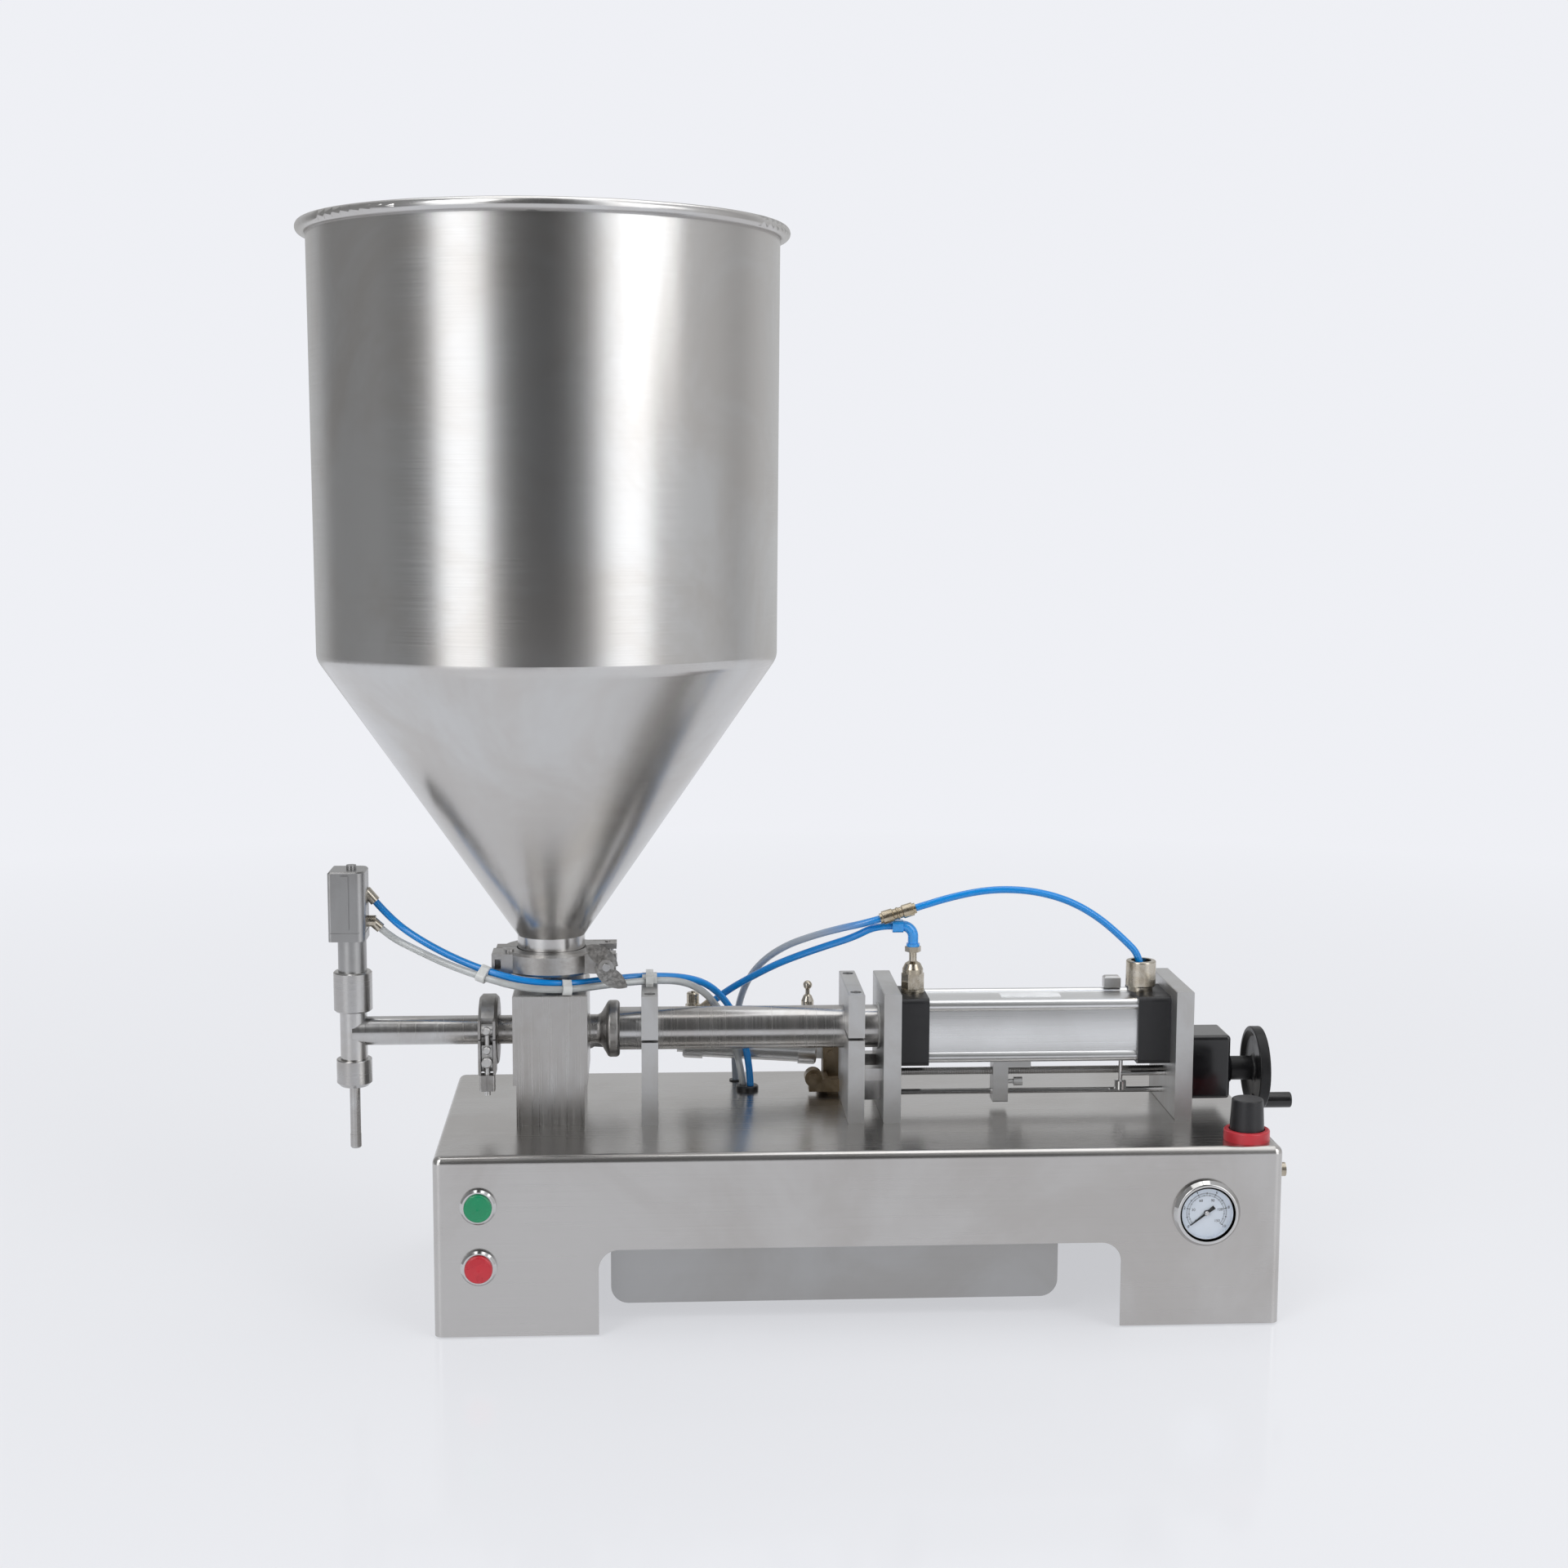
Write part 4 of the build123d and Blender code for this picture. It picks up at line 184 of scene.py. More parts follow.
# %% Build the mottling group
def build_mottle_group():
    group = bpy.data.node_groups.new("Mottling", "ShaderNodeTree")
    add_inputs(group, (("Vector", "Vector", None), ("Size", "Float", 9.0), ("Cool", "Color", None),
                       ("Warm", "Color", None)))
    add_outputs(group, (("Color", "Color"), ("Mask", "Float")))
    entry, leave = node(group, "NodeGroupInput"), node(group, "NodeGroupOutput")
    noise = node(group, "ShaderNodeTexNoise", Detail=5.0, Roughness=0.6, Distortion=0.6)
    mix = node(group, "ShaderNodeMix", data_type="RGBA")
    join(group, entry.outputs["Vector"], noise.inputs["Vector"])
    join(group, entry.outputs["Size"], noise.inputs["Scale"])
    mask = spread(group, noise.outputs["Fac"], 0.0, 1.0, start=0.36, end=0.66, kind="SMOOTHSTEP")
    join(group, mask, mix.inputs["Factor"])
    join(group, entry.outputs["Cool"], mix.inputs[6])
    join(group, entry.outputs["Warm"], mix.inputs[7])
    join(group, mix.outputs[2], leave.inputs["Color"])
    join(group, mask, leave.inputs["Mask"])
    return group


mottling = build_mottle_group()
print("group", mottling.name)

# %% [markdown]
# ## Metals
# The machine is nearly all bare metal: brushed sheet, turned rings, blasted plates, a cast clamp. Each could
# have a tree of its own, but they differ only in tint, gloss and grain, so one recipe serves them all:
# mottled colour, brush lines that drive the roughness, and a faint bump.

# %% Recipe for bare metal
def bare_metal(name, cool, warm, rough, grain, size=9.0, bump=0.12, depth=0.00006):
    """Mottled, brushed metal; rough is a lowest and a highest value, and size is that of the mottling."""
    material, tree, shader, place = start_material(name, Metallic=1.0)
    stretch = node(tree, "ShaderNodeMapping", Scale=grain)
    lines = node(tree, "ShaderNodeGroup", node_tree=brush_lines)
    lines.inputs["Low Roughness"].default_value, lines.inputs["High Roughness"].default_value = rough
    clouds = node(tree, "ShaderNodeGroup", node_tree=mottling)
    clouds.inputs["Size"].default_value = size
    clouds.inputs["Cool"].default_value, clouds.inputs["Warm"].default_value = (*cool, 1), (*warm, 1)
    relief = node(tree, "ShaderNodeBump", Strength=bump, Distance=depth)
    join(tree, place, stretch.inputs["Vector"])
    join(tree, stretch.outputs["Vector"], lines.inputs["Vector"])
    join(tree, place, clouds.inputs["Vector"])
    join(tree, clouds.outputs["Color"], shader.inputs["Base Color"])
    join(tree, lines.outputs["Roughness"], shader.inputs["Roughness"])
    join(tree, lines.outputs["Height"], relief.inputs["Height"])
    join(tree, relief.outputs["Normal"], shader.inputs["Normal"])
    return material


# %% [markdown]
# ## The machine's metals
# A grain is three numbers: how finely the pattern repeats along X, Y and Z. Small along one axis and large
# along the others draws lines along that axis, the way a sheet is brushed. Large along only one axis draws
# rings round it, as a lathe leaves them. Equal numbers give a blasted or cast skin.

# %% Make the metals
def grey(value, tint=0.0):
    """A steel grey; tint above zero is warmer."""
    return (value * (1 + tint), value, value * (1 - tint))


def even(fineness):
    return (fineness, fineness, fineness)


RINGS_ROUND_X, RINGS_ROUND_Y, RINGS_ROUND_Z = (700, 3, 3), (3, 700, 3), (3, 3, 700)
ALONG_SHEET, ALONG_PROFILE, UPRIGHT = (6, 900, 900), (6, 1500, 1500), (900, 900, 8)
metals = {
    "hopper": ("hopper_steel", grey(0.60), grey(0.53, 0.03), (0.21, 0.27), (5, 5, 2400),
               dict(size=7, bump=0.03)),
    "base": ("base_steel", grey(0.56, 0.02), grey(0.49, 0.035), (0.20, 0.28), ALONG_SHEET,
             dict(size=6, bump=0.02)),
    "panel": ("panel_steel", grey(0.44), grey(0.39, 0.02), (0.30, 0.40), ALONG_SHEET,
              dict(size=7, bump=0.06)),
    "block": ("block_steel", grey(0.52, 0.015), grey(0.45, 0.04), (0.24, 0.42), UPRIGHT,
              dict(size=14, bump=0.3)),
    "turned_z": ("turned_upright", grey(0.50), grey(0.42, 0.03), (0.16, 0.30), RINGS_ROUND_Z, dict(size=20)),
    "turned_x": ("turned_level", grey(0.48), grey(0.41, 0.03), (0.16, 0.28), RINGS_ROUND_X, dict(size=20)),
    "turned_y": ("turned_cross", grey(0.44), grey(0.36, 0.03), (0.18, 0.30), RINGS_ROUND_Y, dict(size=20)),
    "polished": ("polished_tube", grey(0.55), grey(0.47, 0.03), (0.20, 0.28), RINGS_ROUND_X,
                 dict(size=16, bump=0.06)),
    "cast": ("cast_steel", grey(0.45, 0.01), grey(0.34, 0.04), (0.30, 0.48), even(420),
             dict(size=45, bump=0.5, depth=0.0003)),
    "plates": ("blasted_aluminium", grey(0.60, -0.005), grey(0.54, 0.01), (0.38, 0.5), even(1500),
               dict(size=25, bump=0.35, depth=0.0001)),
    "profile": ("anodised_profile", grey(0.80, -0.01), grey(0.74, -0.005), (0.26, 0.33), ALONG_PROFILE,
                dict(size=10, bump=0.03)),
    "head": ("anodised_head", grey(0.41), grey(0.37, 0.01), (0.30, 0.40), even(900),
             dict(size=22, bump=0.2, depth=0.0001)),
    "blasted": ("blasted_steel", grey(0.64), grey(0.58, 0.02), (0.38, 0.50), even(700),
                dict(size=30, bump=0.2)),
    "nickel": ("nickel_plate", (0.56, 0.52, 0.45), (0.44, 0.39, 0.31), (0.16, 0.30), even(500),
               dict(size=70)),
    "brass": ("turned_brass", (0.56, 0.49, 0.38), (0.46, 0.39, 0.28), (0.18, 0.32), (700, 200, 300),
              dict(size=80)),
    "bronze": ("bronze_bracket", (0.30, 0.24, 0.17), (0.20, 0.15, 0.09), (0.32, 0.46), even(300),
               dict(size=50)),
    "chrome": ("chrome", grey(0.62), grey(0.56, 0.01), (0.06, 0.13), even(300), dict(size=30, bump=0.03)),
}
finishes = {key: bare_metal(*row, **more) for key, (*row, more) in metals.items()}
print(len(finishes), "metals")

# %% [markdown]
# ## Plastics, rubber and paint
# Moulded pieces have a very fine orange-peel skin, and black ones show it in their gloss. A plain colour
# would look like a drawing, so the recipe adds a little colour drift, a drift in gloss and a faint bump.

# %% Recipe for moulded plastic
SKIN_GRAIN, DRIFT_SIZE = 900.0, 60.0


def moulded(name, color, rough, coat=0.0, depth=0.00004, drift=0.12, **shader_values):
    material, tree, shader, place = start_material(name, **shader_values)
    shader.inputs["Coat Weight"].default_value = coat
    shader.inputs["Coat Roughness"].default_value = 0.08
    skin = node(tree, "ShaderNodeTexNoise", Scale=SKIN_GRAIN, Detail=2.0)
    relief = node(tree, "ShaderNodeBump", Strength=0.18, Distance=depth)
    clouds = node(tree, "ShaderNodeGroup", node_tree=mottling)
    clouds.inputs["Size"].default_value = DRIFT_SIZE
    clouds.inputs["Cool"].default_value = (*color, 1)
    clouds.inputs["Warm"].default_value = (*[min(1, c * (1 + drift) + 0.004) for c in color], 1)
    join(tree, place, skin.inputs["Vector"])
    join(tree, place, clouds.inputs["Vector"])
    join(tree, skin.outputs["Fac"], relief.inputs["Height"])
    join(tree, relief.outputs["Normal"], shader.inputs["Normal"])
    join(tree, clouds.outputs["Color"], shader.inputs["Base Color"])
    join(tree, spread(tree, clouds.outputs["Mask"], rough * 0.85, rough * 1.15), shader.inputs["Roughness"])
    return material


# %% [markdown]
# ## The machine's plastics
# Black caps, box and wheel, two coloured buttons, a red ring nut and pale cable ties all come from the one
# recipe. The blacks differ in gloss: the wheel is dull, the counter box shines, the caps lie between.

# %% Make the plastics
plastics = {
    "black_cap": moulded("black_cap_paint", (0.012, 0.012, 0.014), 0.42),
    "gloss_black": moulded("gloss_black", (0.006, 0.006, 0.007), 0.16, coat=0.25),
    "wheel_black": moulded("wheel_black", (0.008, 0.008, 0.009), 0.36, coat=0.08, Specular_IOR_Level=0.25),
    "charcoal": moulded("charcoal_knob", (0.012, 0.012, 0.014), 0.40),
    # The feet's near-black is rubber, and it also paints the shadow in the gap under the base's bottom edge.
    "rubber": moulded("foot_rubber_gap_shade", (0.018, 0.018, 0.018), 0.7, depth=0.0001),
    "green": moulded("green_button", (0.0, 0.255, 0.105), 0.28, coat=0.3),
    "red": moulded("red_button", (0.52, 0.016, 0.03), 0.28, coat=0.3),
    "red_ring": moulded("red_ring", (0.50, 0.022, 0.035), 0.35, coat=0.1),
    "tie": moulded("clear_tie", (0.62, 0.63, 0.62), 0.3, coat=0.2),
    "dial_white": moulded("dial_white", (0.74, 0.80, 0.88), 0.45, drift=0.02),
    "dial_ink": moulded("dial_ink", (0.012, 0.012, 0.016), 0.5),
    "paper": moulded("label_paper", (0.84, 0.85, 0.86), 0.5),
}
finishes.update(plastics)
print(len(plastics), "plastics")

# %% [markdown]
# ## Hose plastics
# Three hoses are glossy blue and one is clear. A clear hose seen from outside is mostly bright rims and a
# darker middle. Real glass and a hollow bore would show that but render slowly, so it is pale, glossy and
# half transmissive instead.

# %% Make the plain hose finishes
# The second colour is a painted sheen: the grey the fifth hose shows where it mirrors the sky.
BLUE, SHEEN_GREY = (0.0, 0.245, 0.70), (0.42, 0.48, 0.56)
HOSE_SKIN = 0.00001
finishes["blue_hose"] = moulded("blue_hose", BLUE, 0.22, coat=0.35, depth=HOSE_SKIN, drift=0.06)
finishes["blue_fitting"] = moulded("blue_fitting", (0.02, 0.30, 0.78), 0.12, coat=0.6, drift=0.05)
finishes["clear_hose"] = moulded("clear_hose", (0.60, 0.62, 0.62), 0.14, coat=0.5, depth=HOSE_SKIN,
                                 Transmission_Weight=0.45, IOR=1.42)
print("hose blue", BLUE)

# %% [markdown]
# ## The hose with a painted sheen
# The fifth hose is blue at the union and looks milky grey further left, where it mirrors the sky at a grazing
# angle. Two curves could meet there, but the real hose has no seam, so one material fades along X from the
# blue into that grey, a painted sheen.

# %% Make the hose finish with the painted sheen
# Between these two points along X, the painted sheen's grey gives way to the hose's blue.
SHEEN_FROM, BLUE_FROM = -0.005, 0.055              # metres along X


def sheen_fade_hose():
    material, tree, shader, place = start_material("sheen_fade_hose", Coat_Weight=0.6, Coat_Roughness=0.08)
    apart = node(tree, "ShaderNodeSeparateXYZ")
    mix = node(tree, "ShaderNodeMix", data_type="RGBA")
    mix.inputs[6].default_value, mix.inputs[7].default_value = (*SHEEN_GREY, 1), (*BLUE, 1)
    skin = node(tree, "ShaderNodeTexNoise", Scale=260.0)
    join(tree, place, apart.inputs["Vector"])
    join(tree, place, skin.inputs["Vector"])
    # The share of blue rises with X, and the rest is the painted sheen's grey.
    share = spread(tree, apart.outputs["X"], 0.0, 1.0, start=SHEEN_FROM, end=BLUE_FROM, kind="SMOOTHSTEP")
    join(tree, share, mix.inputs["Factor"])
    join(tree, mix.outputs[2], shader.inputs["Base Color"])
    join(tree, spread(tree, skin.outputs["Fac"], 0.14, 0.22), shader.inputs["Roughness"])
    return material


finishes["sheen_fade_hose"] = sheen_fade_hose()
print("fades from", BLUE_FROM, "to", SHEEN_FROM)

# %% [markdown]
# ## Glass of the gauge
# The gauge has a thin flat glass. Leaving it out would lose the soft glint over the dial, so it is kept, with
# full transmission, a low index so that the dial stays clear, and a trace of dust in its roughness.

# %% Make the glass
def gauge_glass():
    material, tree, shader, place = start_material("gauge_glass", Base_Color=(1, 1, 1, 1), IOR=1.1,
                                                   Transmission_Weight=1.0)
    dust = node(tree, "ShaderNodeTexNoise", Scale=400.0)
    join(tree, place, dust.inputs["Vector"])
    join(tree, spread(tree, dust.outputs["Fac"], 0.0, 0.03), shader.inputs["Roughness"])
    return material


finishes["glass"] = gauge_glass()
print("glass", finishes["glass"].name)

# %% [markdown]
# ## Seals
# The gaskets in the ferrules are white silicone, and the two grommets in the base top are black rubber. They
# are one group of solids with one material slot, so the finish itself changes with height: black near the
# base top, white above it.

# %% Make the seal finish
GROMMET_TOP = 0.155
GROMMET_BLACK, GASKET_WHITE = (0.012, 0.012, 0.013, 1), (0.72, 0.72, 0.70, 1)


def seal_rubber():
    material, tree, shader, place = start_material("seal_rubber", Coat_Weight=0.2)
    apart = node(tree, "ShaderNodeSeparateXYZ")
    above = node(tree, "ShaderNodeMath", operation="GREATER_THAN")
    above.inputs[1].default_value = GROMMET_TOP
    mix = node(tree, "ShaderNodeMix", data_type="RGBA")
    mix.inputs[6].default_value, mix.inputs[7].default_value = GROMMET_BLACK, GASKET_WHITE
    skin = node(tree, "ShaderNodeTexNoise", Scale=700.0)
    join(tree, place, apart.inputs["Vector"])
    join(tree, place, skin.inputs["Vector"])
    join(tree, apart.outputs["Z"], above.inputs[0])
    join(tree, above.outputs["Value"], mix.inputs["Factor"])
    join(tree, mix.outputs[2], shader.inputs["Base Color"])
    join(tree, spread(tree, skin.outputs["Fac"], 0.32, 0.5), shader.inputs["Roughness"])
    return material


finishes["seal"] = seal_rubber()
print(len(finishes), "finishes in all")

# %% [markdown]
# ## Dress the solids
# The solids have their true shapes already, so they stay as they are. The table says which finish each one
# takes, and only its material slots change.

# %% Assign finishes to the solids
# The feet's black finish also serves as painted shadow in the gap under the base's bottom edge.
dress = {
    "base": ["base_cover"], "panel": ["valve_panel"], "rubber": ["feet"], "hopper": ["hopper"],
    "block": ["valve_body", "valve_cover"], "turned_z": ["union_nuts", "nozzle_tip", "nozzle_needle"],
    "polished": ["nozzle_pipe", "material_tube"], "blasted": ["outlet_bolt", "sensor"],
    "cast": ["hopper_clamp", "outlet_clamp", "hopper_wing_nut", "outlet_wing_nut", "inlet_ring"],
    "turned_y": ["valve_rotor", "hopper_bolt", "leadscrew"], "turned_x": ["plate_spacers"],
    "plates": ["split_plates", "end_plates", "slide_block", "air_manifold", "regulator_body"],
    "profile": ["cylinder_barrel", "swing_cylinder"], "head": ["actuator_housing"],
    "nickel": ["air_ports", "swing_fittings", "speed_knob"], "brass": ["brass_union"],
    "bronze": ["tail_bracket"],
    "chrome": ["button_bodies", "gauge_case", "piston_rod", "swing_rod", "guide_rods"],
    "black_cap": ["cylinder_caps", "gauge_needle", "regulator_stem"],
    "gloss_black": ["counter_box", "crank_grip"], "wheel_black": ["handwheel"],
    "charcoal": ["regulator_knob"], "red_ring": ["regulator_nut"],
    "green": ["start_button"], "red": ["stop_button"], "seal": ["seals"],
    "tie": ["hose_ties"], "blue_fitting": ["elbow_fitting"], "glass": ["gauge_glass"],
}
for finish, names in dress.items():
    for name in names:
        slots = nodes[name].data.materials
        slots.clear()
        slots.append(finishes[finish])
print("dressed", sum(len(names) for names in dress.values()), "solids")

# %% [markdown]
# ## Air hoses
# A 6 mm nylon hose bends in one smooth line between its fittings. Straight runs with rounded corners look
# like bent wire. A NURBS curve whose control points are the corners of the hose's route gives the smooth
# line, and a round bevel gives it its wall. Each curve stands for the hose's solid.

# %% Routes of the hoses
routes = {
    "hose_actuator": [(-0.35574, 0.008, 0.32081), (-0.34609, 0.008, 0.30932), (-0.3286, 0.003, 0.2952),
                      (-0.2975, -0.015, 0.281), (-0.2657, -0.0315, 0.2709), (-0.234, -0.0385, 0.263),
                      (-0.199, -0.037, 0.2597), (-0.1657, -0.0123, 0.2586), (-0.1346, 0.002, 0.2582),
                      (-0.102, 0.02, 0.2532), (-0.0811, 0.04, 0.2419), (-0.0647, 0.054, 0.2215),
                      (-0.0535, 0.0595, 0.196), (-0.048, 0.062, 0.171), (-0.0461, 0.0626, 0.147),
                      (-0.0458, 0.0628, 0.124), (-0.0461, 0.0626, 0.105)],
    "hose_clear": [(-0.35076, 0.0, 0.29998), (-0.34184, 0.0, 0.29195), (-0.3235, -0.007, 0.284),
                   (-0.2965, -0.0225, 0.2744), (-0.2655, -0.036, 0.2659), (-0.234, -0.0434, 0.2584),
                   (-0.1985, -0.043, 0.2564), (-0.1655, -0.0205, 0.256), (-0.1345, -0.007, 0.2562),
                   (-0.1055, 0.0095, 0.2524), (-0.0865, 0.0315, 0.2385), (-0.0715, 0.051, 0.216),
                   (-0.062, 0.062, 0.193), (-0.056, 0.0662, 0.17), (-0.0519, 0.0664, 0.147),
                   (-0.0516, 0.0666, 0.124), (-0.0519, 0.0664, 0.105)],
    "hose_elbow": [(0.0677, 0.0, 0.2988), (0.0537, 0.0, 0.2988), (0.0367, 0.005, 0.2888),
                   (0.0165, 0.015, 0.2802), (-0.0045, 0.027, 0.2704), (-0.0245, 0.039, 0.26),
                   (-0.042, 0.051, 0.2485), (-0.06725, 0.068, 0.2305), (-0.07915, 0.0731, 0.21949)],
    "hose_union": [(0.06285, -0.006, 0.3077), (0.0466, -0.006, 0.30273), (0.0255, 0.004, 0.2965),
                   (0.0035, 0.02, 0.2872), (-0.0175, 0.038, 0.2758), (-0.0355, 0.058, 0.2595),
                   (-0.0475, 0.0755, 0.2404), (-0.055, 0.0885, 0.2175), (-0.0581, 0.095, 0.193),
                   (-0.0589, 0.0966, 0.168), (-0.0577, 0.0955, 0.147), (-0.0574, 0.0957, 0.126),
                   (-0.0577, 0.0955, 0.105)],
    "hose_arc": [(0.08055, -0.006, 0.3131), (0.09489, -0.006, 0.31749), (0.1125, -0.0045, 0.3225),
                 (0.1365, -0.003, 0.3276), (0.1608, -0.002, 0.3295), (0.1881, -0.001, 0.327),
                 (0.2154, 0.0, 0.3189), (0.2396, 0.001, 0.305), (0.2605, 0.001, 0.287), (0.2762, 0.0, 0.271),
                 (0.2762, 0.0, 0.255)],
}
print("corners", {name: len(points) for name, points in routes.items()})

# %% [markdown]
# ## From route to hose
# The same curve is made twice: once without a bevel, to measure the line that the control points give, and
# once with it, to be the hose.

# %% Draw the hoses
HOSE_R = 0.003
hose_finish = {"hose_actuator": "blue_hose", "hose_clear": "clear_hose", "hose_elbow": "blue_hose",
               "hose_union": "sheen_fade_hose", "hose_arc": "blue_hose"}


def line_through(curve, points):
    """Give a curve one smooth spline with these control points."""
    curve.dimensions, curve.resolution_u = "3D", 10
    spline = curve.splines.new("NURBS")
    spline.points.add(len(points) - 1)
    for slot, spot in zip(spline.points, points):
        slot.co = (*spot, 1)
    spline.order_u, spline.use_endpoint_u = 3, True


def spline_length(points):
    probe = bpy.data.curves.new("probe", "CURVE")
    line_through(probe, points)
    holder = bpy.data.objects.new("probe", probe)
    spots = [v.co.copy() for v in bpy.data.meshes.new_from_object(holder).vertices]
    bpy.data.objects.remove(holder)
    return sum((b - a).length for a, b in zip(spots, spots[1:]))


for name, points in routes.items():
    curve = bpy.data.curves.new(name + "_line", "CURVE")
    line_through(curve, points)
    curve.bevel_depth, curve.bevel_resolution, curve.use_fill_caps = HOSE_R, 6, True
    curve.materials.append(finishes[hose_finish[name]])
    hose = bpy.data.objects.new(name + "_line", curve)
    bpy.context.scene.collection.objects.link(hose)
    length = spline_length(points)
    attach(hose, "frame")
    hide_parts(name)
    print(name, "length", round(length, 4))

# %% [markdown]
# ## Threads
# The adjuster's screw and the hopper clamp's bolt are threaded. A bump would lie flat at the outline, and a
# modelled groove would be heavy. A thread is a helix, which is a rule, so Geometry Nodes make it: a spiral
# swept with a small round profile, whose inputs are the radius, the turns, the length and the ridge.

# %% Build the thread tree
def thread_tree():
    tree = bpy.data.node_groups.new("Thread", "GeometryNodeTree")
    add_inputs(tree, (("Radius", "Float", 0.003), ("Turns", "Float", 20.0), ("Length", "Float", 0.02),
                      ("Ridge", "Float", 0.0003), ("Material", "Material", None)))
    add_outputs(tree, (("Geometry", "Geometry"),))
    entry, leave = node(tree, "NodeGroupInput"), node(tree, "NodeGroupOutput")
    spiral = node(tree, "GeometryNodeCurveSpiral", Resolution=20)
    profile = node(tree, "GeometryNodeCurvePrimitiveCircle", Resolution=5)
    sweep = node(tree, "GeometryNodeCurveToMesh", Fill_Caps=True)
    realize, paint = node(tree, "GeometryNodeRealizeInstances"), node(tree, "GeometryNodeSetMaterial")
    join(tree, entry.outputs["Turns"], spiral.inputs["Rotations"])
    join(tree, entry.outputs["Radius"], spiral.inputs["Start Radius"])
    join(tree, entry.outputs["Radius"], spiral.inputs["End Radius"])
    join(tree, entry.outputs["Length"], spiral.inputs["Height"])
    join(tree, entry.outputs["Ridge"], profile.inputs["Radius"])
    join(tree, spiral.outputs["Curve"], sweep.inputs["Curve"])
    join(tree, profile.outputs["Curve"], sweep.inputs["Profile Curve"])
    join(tree, sweep.outputs["Mesh"], realize.inputs["Geometry"])
    join(tree, realize.outputs["Geometry"], paint.inputs["Geometry"])
    join(tree, entry.outputs["Material"], paint.inputs["Material"])
    join(tree, paint.outputs["Geometry"], leave.inputs["Geometry"])
    return tree


thread = thread_tree()
print("tree", thread.name)

# %% [markdown]
# ## From tree to piece
# A live modifier would have to be carried to the end. The result becomes a plain mesh instead: the tree runs
# on an empty host, the mesh is copied off, and its points move to their place on the machine.

# %% Helpers to grow and place a piece
def grown(tree, name, values):
    """Run a Geometry Nodes tree on an empty mesh and return its result as a plain mesh."""
    host = bpy.data.objects.new(name + "_host", bpy.data.meshes.new(name + "_host"))
    bpy.context.scene.collection.objects.link(host)
    step = host.modifiers.new("grow", "NODES")
    step.node_group = tree
    for item in tree.interface.items_tree:
        if item.in_out == "INPUT" and item.name in values:
            step[item.identifier] = values[item.name]
    bpy.context.view_layer.update()
    ready = host.evaluated_get(bpy.context.evaluated_depsgraph_get())
    mesh = bpy.data.meshes.new_from_object(ready)
    bpy.data.objects.remove(host)
    mesh.name = name
    mesh.materials.clear()
    mesh.materials.append(values["Material"])
    mesh.polygons.foreach_set("material_index", [0] * len(mesh.polygons))
    return mesh


def placed(mesh, name, place, body):
    """Move the mesh's points to their place and let the piece ride on its body."""
    mesh.transform(place)
    piece = bpy.data.objects.new(name, mesh)
    bpy.context.scene.collection.objects.link(piece)
    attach(piece, body)
    return piece


def finished(shape, name, finish):
    """Turn a bmesh into a mesh with its finish."""
    mesh = bpy.data.meshes.new(name)
    shape.to_mesh(mesh)
    shape.free()
    mesh.materials.append(finishes[finish])
    return mesh


def middle(name, axis):
    """A node's middle along one axis."""
    low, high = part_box(name)
    return (low[axis] + high[axis]) / 2


ALONG_X, TO_FRONT = Matrix.Rotation(pi / 2, 4, "Y"), Matrix.Rotation(pi / 2, 4, "X")
print("ready to grow pieces")

# %% [markdown]
# ## Thread the screw and the bolt
# The screw is threaded between the left end plate and the counter box, and turns with the adjuster. The
# bolt is threaded where its wing nut sits, and swings with the bolt.

# %% Lay the threads
SCREW_R, SCREW_PITCH, SCREW_RIDGE = 0.00305, 0.002, 0.00032
FROM_PLATE, FROM_BOX = 0.020, 0.016
screw_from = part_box("end_plates")[0][0] + FROM_PLATE
screw_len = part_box("counter_box")[0][0] - FROM_BOX - screw_from
mesh = grown(thread, "screw_thread", {"Radius": SCREW_R, "Turns": round(screw_len / SCREW_PITCH),
                                      "Length": screw_len, "Ridge": SCREW_RIDGE,
                                      "Material": finishes["turned_x"]})
screw_at = (screw_from, middle("leadscrew", 1), middle("leadscrew", 2))
placed(mesh, "screw_thread", Matrix.Translation(screw_at) @ ALONG_X, "adjuster")

BOLT_R, BOLT_TURNS, BOLT_THREAD, BOLT_RIDGE = 0.0030, 34, 0.042, 0.0003
BOLT_THREAD_END = 0.043                            # behind the bolt's front tip
mesh = grown(thread, "hopper_bolt_thread", {"Radius": BOLT_R, "Turns": BOLT_TURNS, "Length": BOLT_THREAD,
                                            "Ridge": BOLT_RIDGE, "Material": finishes["turned_y"]})
bolt_at = (middle("hopper_bolt", 0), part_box("hopper_bolt")[0][1] + BOLT_THREAD_END, middle("hopper_bolt", 2))
placed(mesh, "hopper_bolt_thread", Matrix.Translation(bolt_at) @ TO_FRONT, "hopper_bolt")
print("screw thread over", round(screw_len, 3), "m")

# %% [markdown]
# ## The gauge's dial
# The dial is an enamelled disc with two rings of strokes round three quarters of its rim. A picture of a
# dial would blur up close. The strokes repeat round an arc, so Geometry Nodes set them out as small quads.

